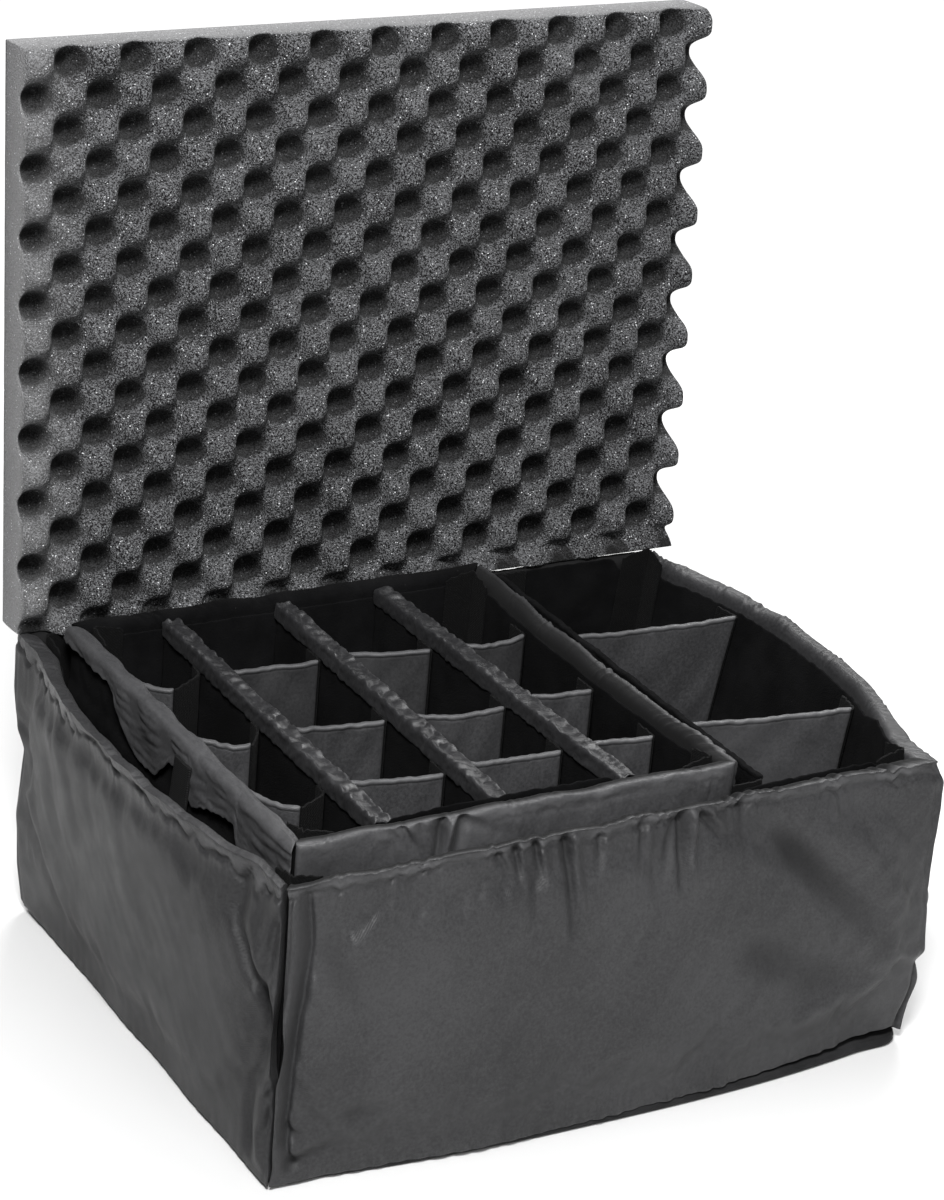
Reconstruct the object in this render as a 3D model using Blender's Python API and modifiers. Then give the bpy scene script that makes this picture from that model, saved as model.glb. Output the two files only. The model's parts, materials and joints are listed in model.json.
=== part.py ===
"""Padded insert for a hard camera case: a box of padded walls with an open bay, a lift-out
upper tray of sixteen cells, a lower layer of dividers below the tray, and a lid pad of
convoluted foam that stands on the rear rim. Metres, +Z up, +Y to the rear, and the origin
is the middle of the box's underside."""

import math
from collections import namedtuple

import bmesh
import bpy
from mathutils import Matrix, Vector

# Box of padded walls
BOX_WIDTH = 0.541
BOX_DEPTH = 0.431
BOX_HEIGHT = 0.236
FLOOR_THICKNESS = 0.008
WALL_THICKNESS = 0.0130
LINING_THICKNESS = 0.0017
LINING_DROP = 0.010
WALL_ROUNDING = 0.0045
WALL_CROWN = 0.0025
SETTLE = 0.012
RIGHT_BOW = 0.034
LEFT_BOW = 0.029
FRONT_FOOT_BOW = 0.014
CORNER_ARM = 0.024
CORNER_TAPE = 0.0014
CORNER_PROUD = 0.0012

# Upper tray
TRAY_HEIGHT = 0.105
TRAY_PROUD = 0.0165
TRAY_FLOOR = 0.008
TRAY_END_ROOM = 0.011
TRAY_SIDE_ROOM = 0.0012
TRAY_RIGHT_SINK = 0.006
LONG_THICKNESS = 0.015
LONG_DROP = 0.0015
CROSS_THICKNESS = 0.0045
CROSS_DROP = 0.0115
TAB_THICKNESS = 0.0018
TAB_LENGTH = 0.024
FOLD = 0.003

# Bay on the right, full height
BAY_WIDTH = 0.132
BAY_GAP = 0.0145
BAY_THICKNESS = 0.005
BAY_DIVIDER_PROUD = 0.004
BAY_CROSS_DROP = 0.010
BAY_FLAP = 0.027

# Pull tabs of webbing on the tray's sides
WEB_WIDTH = 0.025
WEB_THICKNESS = 0.0032
WEB_DROP = 0.012
WEB_LENGTH = 0.052
WEB_CURL = 0.004

# Lid pad of convoluted foam
LID_WIDTH = 0.5714
LID_HEIGHT = 0.4439
LID_PEAK = 0.047
LID_VALLEY = 0.022
LID_PITCH = 0.0506
LID_FIRST_COLUMN = 0.011
LID_FIRST_ROW = 0.0122
LID_LEAN = math.radians(3.15)
LID_SHIFT = 0.004
LID_TRAY_GAP = 0.0018
LID_OVERHANG = 0.0065
LID_CLOSED_GAP = 0.0025

# Clearances between separate pieces
GAP = 0.0003
SEAT_GAP = 0.0006
MITRE_GAP = 0.0004

# How far each rim corner has settled from its foot, as shares of SETTLE
BOX_SETTLE_SHARES = {
    (-1, -1): (-0.25, -0.08),
    (1, -1): (-0.78, 0.61),
    (1, 1): (0.67, -0.99),
    (-1, 1): (-0.60, 0.20),
}
SETTLE_POWER = 1.5
BOW_POWER = 1.6
BOW_FLATNESS = 2.5

# Long dividers: rear and front places as shares of the tray's inner width
LONG_SHARES = [(0.197, 0.190), (0.487, 0.474), (0.750, 0.784)]

# Cross dividers of the narrow left column: left, vertex and right places front to back as
# shares of half the tray's inner depth, and the vertex's share of the column's width
BENT_SHARES = [(0.61, 0.46, 0.58, 0.43), (0.03, -0.118, 0.01, 0.68), (-0.47, -0.68, -0.59, 0.50)]
# Cross dividers of the other columns: left, right and bow as shares of the same half depth
CROSS_SHARES = [
    [(0.54, 0.51, 0.0), (-0.045, -0.110, 0.0), (-0.555, -0.627, 0.0)],
    [(0.54, 0.445, 0.0), (-0.100, -0.163, -0.030), (-0.575, -0.610, 0.0)],
    [(0.475, 0.450, -0.045), (-0.100, -0.145, 0.0), (-0.570, -0.623, 0.0)],
]
# Bay cross dividers: left and right places as shares of half the box's inner depth
BAY_CROSS_SHARES = [(0.46, 0.40), (-0.36, -0.47)]
# Lower layer: long dividers as shares of the width left of the bay, cross ones of the depth
LOWER_LONG_SHARES = [1 / 3, 2 / 3]
LOWER_CROSS_SHARES = [0.56, 0.40, 0.52]
# Pull tabs: place along the tray's side as a share of its half depth
WEB_SHARE = -0.15

# Names, plan directions and starting corners of a box's four sides
SIDES = {
    "front": ((-1, -1), (1, -1), Vector((0, -1))),
    "right": ((1, -1), (1, 1), Vector((1, 0))),
    "back": ((1, 1), (-1, 1), Vector((0, 1))),
    "left": ((-1, 1), (-1, -1), Vector((-1, 0))),
}
CORNERS = {
    "front_left": ("left", "front"),
    "front_right": ("front", "right"),
    "back_right": ("right", "back"),
    "back_left": ("back", "left"),
}
BOW_CELLS = 12
WALL_CELLS = 6
RISE_CELLS = 5
# Neighbouring faces that turn less than this are one flat face
FLAT = math.radians(0.02)

Box = namedtuple("Box", "x_mid half_x half_y z_low z_high settle rim_bows foot_bows")

# Colour, roughness and metallic value of each finish
FINISHES = {
    "nylon": ((0.060, 0.060, 0.063), 0.55, 0.0),
    "loop_lining": ((0.012, 0.012, 0.013), 0.95, 0.0),
    "hook_tape": ((0.008, 0.008, 0.009), 0.85, 0.0),
    "webbing": ((0.010, 0.010, 0.011), 0.75, 0.0),
    "base_panel": ((0.020, 0.020, 0.021), 0.80, 0.0),
    "lid_foam": ((0.150, 0.152, 0.157), 0.95, 0.0),
}

# Places worked out from the driving sizes
WALL_BUILD = WALL_THICKNESS + GAP + LINING_THICKNESS
INNER_HALF_X = BOX_WIDTH / 2 - WALL_BUILD
INNER_HALF_Y = BOX_DEPTH / 2 - WALL_BUILD
WALL_FOOT = FLOOR_THICKNESS + GAP
TRAY_RIM = BOX_HEIGHT + TRAY_PROUD
TRAY_BOTTOM = TRAY_RIM - TRAY_HEIGHT
TRAY_WALL_FOOT = TRAY_BOTTOM + TRAY_FLOOR + GAP
BAY_RIGHT_FACE = INNER_HALF_X - BAY_WIDTH
BAY_X = BAY_RIGHT_FACE - BAY_THICKNESS / 2
BAY_DIVIDER_TOP = BOX_HEIGHT + BAY_DIVIDER_PROUD
BAY_CROSS_TOP = BOX_HEIGHT - BAY_CROSS_DROP
TRAY_LEFT = -INNER_HALF_X + CORNER_TAPE + TRAY_SIDE_ROOM
TRAY_RIGHT = BAY_RIGHT_FACE - BAY_THICKNESS - BAY_GAP
TRAY_HALF_Y = INNER_HALF_Y - TRAY_END_ROOM

BOX = Box(
    0.0, BOX_WIDTH / 2, BOX_DEPTH / 2, WALL_FOOT, BOX_HEIGHT,
    {key: Vector(shares) * SETTLE for key, shares in BOX_SETTLE_SHARES.items()},
    {"right": RIGHT_BOW, "left": LEFT_BOW},
    {"front": FRONT_FOOT_BOW},
)
TRAY = Box(
    (TRAY_LEFT + TRAY_RIGHT) / 2, (TRAY_RIGHT - TRAY_LEFT) / 2, TRAY_HALF_Y,
    TRAY_WALL_FOOT, TRAY_RIM,
    {key: Vector((0, 0)) for key in BOX_SETTLE_SHARES},
    {"right": -TRAY_RIGHT_SINK},
    {},
)


def blend(low, high, share):
    return low + (high - low) * share


def even_shares(cells):
    return [index / cells for index in range(cells + 1)]


def bow_profile(share):
    """Bow of a soft wall, none in the taped end cells and straight within each cell."""
    taped = 1 / BOW_CELLS

    def smooth(value):
        free = min(max((value - taped) / (1 - 2 * taped), 0.0), 1.0)
        return 1 - abs(2 * free - 1) ** BOW_FLATNESS

    place = min(max(share, 0.0), 1.0) * BOW_CELLS
    cell = min(int(place), BOW_CELLS - 1)
    return blend(smooth(cell / BOW_CELLS), smooth((cell + 1) / BOW_CELLS), place - cell)


def height_share(box, z):
    return min(max((z - box.z_low) / (box.z_high - box.z_low), 0.0), 1.0)


def corner_point(box, corner, height, inset):
    rise = height ** SETTLE_POWER
    foot = Vector((box.x_mid + corner[0] * box.half_x, corner[1] * box.half_y))
    return foot + box.settle[corner] * rise - Vector(corner) * inset


def side_point(box, side, share, z, inset):
    """Plan place on one side of a box, at a share of its run, a height and an inset."""
    start, end, outward = SIDES[side]
    height = height_share(box, z)
    first = corner_point(box, start, height, inset)
    last = corner_point(box, end, height, inset)
    bow = box.rim_bows.get(side, 0.0) * height ** BOW_POWER
    bow += box.foot_bows.get(side, 0.0) * (1 - height) ** BOW_POWER
    return first.lerp(last, share) + outward * bow * bow_profile(share)


def crown_share(along, up):
    """Fullness of a padded face: all at its middle and none along its edges."""
    return 16 * along * (1 - along) * up * (1 - up)


def side_length(box, side):
    return 2 * (box.half_x if side in ("front", "back") else box.half_y)


def face_at(box, side, coordinate, z, inset=WALL_BUILD):
    """The lining's face of a side where it crosses a given x (front, back) or y (left, right)."""
    start, end, _ = SIDES[side]
    height = height_share(box, z)
    axis = 0 if side in ("front", "back") else 1
    first = corner_point(box, start, height, inset)[axis]
    last = corner_point(box, end, height, inset)[axis]
    share = (coordinate - first) / (last - first)
    return side_point(box, side, share, z, inset)[1 - axis]


def material(finish):
    """One Principled material for each finish."""
    found = bpy.data.materials.get(finish)
    if found:
        return found
    colour, roughness, metallic = FINISHES[finish]
    made = bpy.data.materials.new(finish)
    made.use_nodes = True
    shader = made.node_tree.nodes["Principled BSDF"]
    shader.inputs["Base Color"].default_value = (*colour, 1.0)
    shader.inputs["Roughness"].default_value = roughness
    shader.inputs["Metallic"].default_value = metallic
    return made


def add_object(name, mesh, origin, finish, parent=None):
    """Put a mesh that is drawn in place into the part, with its own origin and parent."""
    mesh.transform(Matrix.Translation(-Vector(origin)))
    mesh.materials.append(material(finish))
    made = bpy.data.objects.new(name, mesh)
    PART.objects.link(made)
    made.location = Vector(origin)
    if parent:
        made.parent = parent
        made.location -= parent.location
    return made


def add_empty(name, place):
    made = bpy.data.objects.new(name, None)
    made.location = place
    PART.objects.link(made)
    return made


def round_edges(made, width, segments, angle=math.radians(60)):
    if width:
        bevel = made.modifiers.new("rounded_edges", "BEVEL")
        bevel.width = width
        bevel.segments = segments
        bevel.limit_method = "ANGLE"
        bevel.angle_limit = angle


def panel_mesh(name, place, alongs, ups):
    """A closed slab between two grids, each corner placed by a rule of along, up and across."""
    shape = bmesh.new()
    near, far = (
        [[shape.verts.new(place(along, up, across)) for up in ups] for along in alongs]
        for across in (0.0, 1.0)
    )
    for grid in (near, far):
        for column, after in zip(grid, grid[1:]):
            for row in range(len(ups) - 1):
                shape.faces.new((column[row], after[row], after[row + 1]))
                shape.faces.new((column[row], after[row + 1], column[row + 1]))
    rims = [
        [
            *[column[0] for column in grid], *grid[-1][1:],
            *[column[-1] for column in grid[-2::-1]], *grid[0][-2:0:-1],
        ]
        for grid in (near, far)
    ]
    for index in range(len(rims[0])):
        shape.faces.new((rims[0][index - 1], rims[0][index], rims[1][index], rims[1][index - 1]))
    bmesh.ops.recalc_face_normals(shape, faces=shape.faces)
    if shape.calc_volume(signed=True) < 0:
        bmesh.ops.reverse_faces(shape, faces=shape.faces)
    bmesh.ops.dissolve_limit(shape, angle_limit=FLAT, verts=shape.verts, edges=shape.edges)
    mesh = bpy.data.meshes.new(name)
    shape.to_mesh(mesh)
    shape.free()
    return mesh


def wall_rule(box, side, outer, inner, crown=0.0):
    """Rule of a wall layer between two insets from the box's outline."""
    margin = MITRE_GAP / side_length(box, side)
    outward = SIDES[side][2]

    def place(along, up, across):
        share = min(max(along, margin), 1 - margin)
        z = blend(box.z_low, box.z_high, up)
        point = side_point(box, side, share, z, blend(outer, inner, across))
        point += outward * crown * crown_share(along, up) * (1 - across)
        return Vector((point.x, point.y, z))

    return place


def add_walls(prefix, box, parent):
    """Four padded walls, mitred at the corners, and the loop lining that backs each."""
    for side in SIDES:
        bowed = side in box.rim_bows or side in box.foot_bows
        alongs = even_shares(BOW_CELLS if bowed else WALL_CELLS)
        lining_top = 1 - LINING_DROP / (box.z_high - box.z_low)
        ups = [share for share in even_shares(RISE_CELLS) if share < lining_top] + [lining_top]
        middle = side_point(box, side, 0.5, box.z_low, 0.0)
        origin = (middle.x, middle.y, box.z_low)
        rule = wall_rule(box, side, 0.0, WALL_THICKNESS, WALL_CROWN)
        name = f"{prefix}_{side}_wall"
        mesh = panel_mesh(name, rule, alongs, [*ups, 1.0])
        wall = add_object(name, mesh, origin, "nylon", parent)
        round_edges(wall, WALL_ROUNDING, 2)
        name = f"{prefix}_{side}_lining"
        rule = wall_rule(box, side, WALL_THICKNESS + GAP, WALL_BUILD)
        add_object(name, panel_mesh(name, rule, alongs, ups), origin, "loop_lining", parent)


def add_corner_tapes(prefix, box, parent):
    """Strips of hook tape folded into the inner corners, which hold the walls together."""
    near = WALL_BUILD + SEAT_GAP
    for corner, (before, after) in CORNERS.items():

        def place(along, up, across, before=before, after=after):
            z = blend(box.z_low, box.z_high + CORNER_PROUD, up)
            inset = blend(near, near + CORNER_TAPE, across)
            reach = (2 * along - 1) * CORNER_ARM
            side = before if reach < 0 else after
            share = reach / (side_length(box, side) - 2 * inset)
            point = side_point(box, side, share + 1 if reach < 0 else share, z, inset)
            return Vector((point.x, point.y, z))

        foot = corner_point(box, SIDES[after][0], 0.0, near)
        name = f"{prefix}_{corner}_corner_tape"
        mesh = panel_mesh(name, place, even_shares(2), even_shares(RISE_CELLS))
        add_object(name, mesh, (foot.x, foot.y, box.z_low), "hook_tape", parent)


def add_base_panel():
    """The stiff panel under the box, its front edge bowed out with the wall's foot."""

    def place(along, up, across):
        front = side_point(BOX, "front", along, BOX.z_low, 0.0)
        return Vector((front.x, blend(front.y, BOX.half_y, up), FLOOR_THICKNESS * across))

    mesh = panel_mesh("outer_floor_pad", place, even_shares(BOW_CELLS), even_shares(1))
    made = add_object("outer_floor_pad", mesh, (0.0, 0.0, 0.0), "base_panel")
    round_edges(made, FLOOR_THICKNESS / 4, 2)


def add_block(name, low, high, finish, rounding, parent=None):
    """A flat padded board between two opposite corners."""

    def place(along, up, across):
        return Vector((
            blend(low[0], high[0], along), blend(low[1], high[1], up), blend(low[2], high[2], across),
        ))

    origin = ((low[0] + high[0]) / 2, (low[1] + high[1]) / 2, low[2])
    mesh = panel_mesh(name, place, even_shares(1), even_shares(1))
    made = add_object(name, mesh, origin, finish, parent)
    round_edges(made, rounding, 2)
    return made


def ribbon_mesh(name, stations, low, high, levels=1, lean=None):
    """A standing ribbon along plan stations (x, y, half thickness), with mitred folds."""
    last = len(stations) - 1
    sides = []
    for index, (x, y, half) in enumerate(stations):
        here = Vector((x, y))
        before = here - Vector(stations[max(index - 1, 0)][:2])
        after = Vector(stations[min(index + 1, last)][:2]) - here
        before = (before if index else after).normalized()
        after = (after if index < last else before).normalized()
        bisector = (before + after).normalized()
        across = Vector((-bisector.y, bisector.x))
        stretch = 1 / max(bisector.dot(after), 0.5)
        sides.append((here, across * half * stretch))

    def place(along, up, across):
        here, reach = sides[round(along * last)]
        z = blend(low, high, up)
        point = here + reach * (1 - 2 * across)
        shift = lean(point, z) if lean else 0.0
        return Vector((point.x + shift, point.y, z))

    return panel_mesh(name, place, even_shares(last), even_shares(levels))


def folded_stations(left, right, left_y, right_y, thickness, bow=0.0, cells=4):
    """A straight or bowed divider between two faces, a hook tab folded back at each end."""
    tab_half = TAB_THICKNESS / 2
    first = left + GAP + tab_half
    final = right - GAP - tab_half
    stations = [(first, left_y + TAB_LENGTH, tab_half), (first, left_y + FOLD, tab_half)]
    for share in even_shares(cells):
        x = blend(first + FOLD, final - FOLD, share)
        y = blend(left_y, right_y, share) + bow * 4 * share * (1 - share)
        stations.append((x, y, thickness / 2))
    stations += [(final, right_y + FOLD, tab_half), (final, right_y + TAB_LENGTH, tab_half)]
    return stations


def bent_stations(left, right, left_y, vertex_y, right_y, vertex_share):
    """A divider longer than its column: the panel runs to a bend, its tab on to the far face."""
    tab_half = TAB_THICKNESS / 2
    half = CROSS_THICKNESS / 2
    first = left + GAP + tab_half
    final = right - GAP - tab_half
    bend = blend(first, final, vertex_share)
    panel = [(first + FOLD, left_y, half)]
    for share in (0.35, 0.7, 1.0):
        drop = math.sin(share * math.pi / 2)
        panel.append((blend(first + FOLD, bend, share), blend(left_y, vertex_y, drop), half))
    return [
        (first, left_y + TAB_LENGTH, tab_half),
        (first, left_y + FOLD, tab_half),
        *panel,
        (bend + FOLD, vertex_y + FOLD / 2, tab_half),
        (final - FOLD / 2, right_y - FOLD, tab_half),
        (final, right_y + FOLD, tab_half),
        (final, right_y + TAB_LENGTH / 2, tab_half),
    ]


def stations_origin(stations, z):
    middle = stations[len(stations) // 2]
    return (middle[0], middle[1], z)


def long_face(index, y, side):
    """x of a long divider's left (-1) or right (1) face at a given y."""
    rear, front = LONG_X[index]
    share = (TRAY_INNER_Y - y) / (2 * TRAY_INNER_Y)
    return blend(rear, front, share) + side * LONG_THICKNESS / 2


def add_tray(parent):
    low = (TRAY_LEFT, -TRAY_HALF_Y, TRAY_BOTTOM)
    high = (TRAY_RIGHT, TRAY_HALF_Y, TRAY_BOTTOM + TRAY_FLOOR)
    add_block("tray_floor_pad", low, high, "loop_lining", TRAY_FLOOR / 4, parent)
    add_walls("tray", TRAY, parent)
    add_corner_tapes("tray", TRAY, parent)
    add_pull_tab("left", -1, parent)
    add_pull_tab("right", 1, parent)


def add_pull_tab(side, outward, parent):
    """Doubled webbing sewn under the rim on the tray's outer side, its free end curling out."""
    middle = WEB_SHARE * TRAY_HALF_Y

    def place(along, up, across):
        y = middle + WEB_WIDTH * (along - 0.5)
        z = TRAY_RIM - WEB_DROP - WEB_LENGTH * (1 - up)
        crown = WALL_CROWN * crown_share((y / TRAY_HALF_Y + 1) / 2, height_share(TRAY, z))
        out = crown + SEAT_GAP + WEB_CURL * (1 - up) ** 2 + WEB_THICKNESS * across
        return Vector((face_at(TRAY, side, y, z, 0.0) + outward * out, y, z))

    name = f"tray_{side}_pull_tab"
    mesh = panel_mesh(name, place, even_shares(1), even_shares(4))
    add_object(name, mesh, place(0.5, 1.0, 0.0), "webbing", parent)


def add_long_dividers(parent):
    low, high = TRAY_WALL_FOOT, TRAY_RIM - LONG_DROP
    for index, (rear, front) in enumerate(LONG_X):
        end = TRAY_INNER_Y - GAP
        half = LONG_THICKNESS / 2
        stations = [
            (blend(rear, front, share), blend(end, -end, share), half) for share in even_shares(4)
        ]
        name = f"tray_long_divider_{index + 1}"
        mesh = ribbon_mesh(name, stations, low, high)
        made = add_object(name, mesh, stations_origin(stations, low), "nylon", parent)
        round_edges(made, WALL_ROUNDING, 2)


def column_faces(column, y):
    """Left and right x of a column of the tray at a given y."""
    if column == 0:
        left = TRAY_LEFT + WALL_BUILD
    else:
        left = long_face(column - 1, y, 1)
    if column == len(LONG_X):
        right = face_at(TRAY, "right", y, TRAY_RIM) - (SEAT_GAP - GAP)
    else:
        right = long_face(column, y, -1)
    return left, right


def add_cross_dividers(parent):
    low, high = TRAY_WALL_FOOT, TRAY_RIM - CROSS_DROP
    for row, (left_share, vertex_share, right_share, bend_share) in enumerate(BENT_SHARES):
        ys = [share * TRAY_INNER_Y for share in (left_share, vertex_share, right_share)]
        left = column_faces(0, ys[0])[0]
        right = min(column_faces(0, ys[2] + reach)[1] for reach in (0.0, TAB_LENGTH))
        stations = bent_stations(left, right, *ys, bend_share)
        add_divider(f"tray_cross_divider_1_{row + 1}", stations, low, high, parent)
    for column, rows in enumerate(CROSS_SHARES, start=1):
        for row, (left_share, right_share, bow_share) in enumerate(rows):
            left_y, right_y = left_share * TRAY_INNER_Y, right_share * TRAY_INNER_Y
            left = max(column_faces(column, left_y + reach)[0] for reach in (0.0, TAB_LENGTH))
            right = min(column_faces(column, right_y + reach)[1] for reach in (0.0, TAB_LENGTH))
            bow = bow_share * TRAY_INNER_Y
            stations = folded_stations(left, right, left_y, right_y, CROSS_THICKNESS, bow)
            name = f"tray_cross_divider_{column + 1}_{row + 1}"
            add_divider(name, stations, low, high, parent)


def add_divider(name, stations, low, high, parent=None):
    mesh = ribbon_mesh(name, stations, low, high)
    made = add_object(name, mesh, stations_origin(stations, low), "nylon", parent)
    round_edges(made, TAB_THICKNESS / 3, 1)


def add_bay_dividers():
    """The full-depth bay divider, a flap folded at each end, and two cross dividers."""
    low = WALL_FOOT
    tab_half = TAB_THICKNESS / 2
    half = BAY_THICKNESS / 2
    rims = (WALL_FOOT, BOX_HEIGHT)
    front = max(face_at(BOX, "front", BAY_X, z) for z in rims) + SEAT_GAP + tab_half
    rear = min(face_at(BOX, "back", BAY_X + BAY_FLAP, z) for z in rims)
    rear = min(rear, LID_FRONT) - SEAT_GAP - tab_half
    stations = [
        (BAY_X - BAY_FLAP, front, tab_half),
        (BAY_X - FOLD, front, tab_half),
        *[(BAY_X, blend(front + FOLD, rear - FOLD, share), half) for share in even_shares(4)],
        (BAY_X + FOLD, rear, tab_half),
        (BAY_X + BAY_FLAP, rear, tab_half),
    ]
    add_divider("bay_long_divider", stations, low, BAY_DIVIDER_TOP)
    for index, shares in enumerate(BAY_CROSS_SHARES):
        left_y, right_y = (share * INNER_HALF_Y for share in shares)
        foot = face_at(BOX, "right", right_y, low)
        cross = folded_stations(
            BAY_RIGHT_FACE, foot - SEAT_GAP, left_y, right_y, CROSS_THICKNESS,
        )
        start, reach = cross[0][0], cross[-1][0] - cross[0][0]

        def lean(point, z, start=start, reach=reach, foot=foot):
            """Each level stretches out to the bowed wall, which leans away from the foot."""
            share = min(max((point.x - start) / reach, 0.0), 1.0)
            return share * (face_at(BOX, "right", point.y, z) - foot)

        name = f"bay_cross_divider_{index + 1}"
        mesh = ribbon_mesh(name, cross, low, BAY_CROSS_TOP, levels=RISE_CELLS, lean=lean)
        made = add_object(name, mesh, stations_origin(cross, low), "nylon")
        round_edges(made, TAB_THICKNESS / 3, 1)


def add_lower_layer():
    """Plain padded dividers on the box's floor, which carry the tray."""
    low, high = WALL_FOOT, TRAY_BOTTOM - GAP
    half = LONG_THICKNESS / 2
    left_face = -INNER_HALF_X
    right_face = BAY_X - BAY_THICKNESS / 2
    longs = [blend(left_face, right_face, share) for share in LOWER_LONG_SHARES]
    for index, x in enumerate(longs):
        front = max(face_at(BOX, "front", x, z) for z in (low, high)) + SEAT_GAP
        rear = min(face_at(BOX, "back", x, z) for z in (low, high)) - SEAT_GAP
        name = f"lower_long_divider_{index + 1}"
        add_block(name, (x - half, front, low), (x + half, rear, high), "nylon", WALL_ROUNDING)
    edges = [left_face + SEAT_GAP, *longs, right_face]
    for index, share in enumerate(LOWER_CROSS_SHARES):
        start = edges[index] + (half if index else 0.0) + GAP
        end = edges[index + 1] - (half if index < len(longs) else 0.0) - GAP
        y = blend(INNER_HALF_Y, -INNER_HALF_Y, share)
        thin = CROSS_THICKNESS / 2
        name = f"lower_cross_divider_{index + 1}"
        add_block(name, (start, y - thin, low), (end, y + thin, high), "nylon", TAB_THICKNESS / 3)


def lid_lattice(first, limit):
    """Shares of an edge where the relief is sampled: its ends and each quarter pitch."""
    step = LID_PITCH / 4
    count = math.floor((limit - first) / step)
    inside = [first + index * step for index in range(-math.floor(first / step), count + 1)]
    kept = [value / limit for value in inside if step / 4 < value < limit - step / 4]
    return [0.0, *kept, 1.0]


def lid_place(along, up, across):
    """A point of the standing lid pad: flat back, egg-crate relief in front."""
    u = along * LID_WIDTH
    v = up * LID_HEIGHT
    turn = 2 * math.pi / LID_PITCH
    wave = math.cos(turn * (u - LID_FIRST_COLUMN)) * math.cos(turn * (LID_HEIGHT - LID_FIRST_ROW - v))
    w = across * blend(LID_VALLEY, LID_PEAK, (1 + wave) / 2)
    return Vector((
        LID_SHIFT - LID_WIDTH / 2 + u,
        LID_BACK + v * math.sin(LID_LEAN) - w * math.cos(LID_LEAN),
        LID_FOOT + v * math.cos(LID_LEAN) + w * math.sin(LID_LEAN),
    ))


def lid_hinge():
    """The axis about which the pad swings from standing to lying just clear of the tray."""
    slope, run = 1 + math.sin(LID_LEAN), math.cos(LID_LEAN)
    back = BOX_DEPTH / 2 + LID_OVERHANG - LID_BACK
    rise = TRAY_RIM + LID_CLOSED_GAP + LID_PEAK - LID_FOOT
    v = (slope * back + run * rise) / (slope ** 2 + run ** 2)
    w = (slope * rise - run * back) / (slope ** 2 + run ** 2)
    y = LID_BACK + v * math.sin(LID_LEAN) - w * math.cos(LID_LEAN)
    z = LID_FOOT + v * math.cos(LID_LEAN) + w * math.sin(LID_LEAN)
    return (LID_SHIFT, y, z)


def add_lid_foam():
    alongs = lid_lattice(LID_FIRST_COLUMN, LID_WIDTH)
    ups = sorted(1 - share for share in lid_lattice(LID_FIRST_ROW, LID_HEIGHT))
    mesh = panel_mesh("lid_foam", lid_place, alongs, ups)
    add_object("lid_foam", mesh, lid_hinge(), "lid_foam")


LONG_X = [
    tuple(blend(TRAY_LEFT + WALL_BUILD, TRAY_RIGHT - WALL_BUILD, share) for share in pair)
    for pair in LONG_SHARES
]
TRAY_INNER_Y = TRAY_HALF_Y - WALL_BUILD
LID_FRONT = TRAY_HALF_Y + WALL_CROWN + LID_TRAY_GAP
LID_BACK = LID_FRONT + LID_PEAK
# The pad rests on the corner tape that reaches furthest back
LID_REST_Y = INNER_HALF_Y + max(BOX.settle[corner].y for corner in BOX.settle if corner[1] > 0)
LID_FOOT = BOX_HEIGHT + CORNER_PROUD + SEAT_GAP - (LID_BACK - LID_REST_Y) * math.tan(LID_LEAN)

for old in list(bpy.data.objects):
    bpy.data.objects.remove(old)
PART = bpy.data.collections.new("camera_bag_insert")
bpy.context.scene.collection.children.link(PART)

add_base_panel()
add_walls("outer", BOX, None)
add_corner_tapes("outer", BOX, None)
add_lower_layer()
add_bay_dividers()
tray_lift = add_empty("tray_lift", (TRAY.x_mid, 0.0, TRAY_BOTTOM))
add_tray(tray_lift)
add_long_dividers(tray_lift)
add_cross_dividers(tray_lift)
add_lid_foam()
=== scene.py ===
"""Looks of a padded case insert: nylon walls and dividers with loop linings, hook tape, webbing
and a lid pad of convoluted foam. Metres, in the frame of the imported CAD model."""

import json
import math
from collections import namedtuple

import bmesh
import bpy
import numpy as np
from mathutils import Matrix, Vector

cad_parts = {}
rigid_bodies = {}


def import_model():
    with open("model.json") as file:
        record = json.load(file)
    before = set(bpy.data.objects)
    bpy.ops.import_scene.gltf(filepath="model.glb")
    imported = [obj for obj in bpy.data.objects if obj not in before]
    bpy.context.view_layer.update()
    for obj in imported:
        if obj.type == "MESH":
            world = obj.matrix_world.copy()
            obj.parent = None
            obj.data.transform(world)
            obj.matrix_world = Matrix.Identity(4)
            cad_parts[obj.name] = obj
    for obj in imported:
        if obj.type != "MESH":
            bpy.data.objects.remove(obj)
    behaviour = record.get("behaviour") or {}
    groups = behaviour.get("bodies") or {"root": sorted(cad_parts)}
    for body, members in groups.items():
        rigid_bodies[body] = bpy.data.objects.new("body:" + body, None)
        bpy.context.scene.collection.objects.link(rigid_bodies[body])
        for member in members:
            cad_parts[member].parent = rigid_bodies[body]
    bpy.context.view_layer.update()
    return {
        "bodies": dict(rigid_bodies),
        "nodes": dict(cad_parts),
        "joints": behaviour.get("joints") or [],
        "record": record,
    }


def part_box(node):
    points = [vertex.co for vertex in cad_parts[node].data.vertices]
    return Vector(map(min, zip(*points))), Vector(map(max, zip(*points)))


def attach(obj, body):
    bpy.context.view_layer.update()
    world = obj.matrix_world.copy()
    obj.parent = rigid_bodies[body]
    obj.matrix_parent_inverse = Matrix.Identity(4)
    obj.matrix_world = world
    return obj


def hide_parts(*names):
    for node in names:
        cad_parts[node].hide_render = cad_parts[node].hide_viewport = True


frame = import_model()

# Sizes and shares of the CAD model, repeated from its source
WALL_THICKNESS = 0.0130
LINING_THICKNESS = 0.0017
LINING_DROP = 0.010
WALL_CROWN = 0.0025
SETTLE = 0.012
CORNER_ARM = 0.024
CORNER_TAPE = 0.0014
CORNER_PROUD = 0.0012
GAP = 0.0003
SEAT_GAP = 0.0006
BOX_HALF_X = 0.2705
BOX_HALF_Y = 0.2155
BOX_HEIGHT = 0.236
FLOOR_THICKNESS = 0.008
TRAY_PROUD = 0.0165
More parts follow.
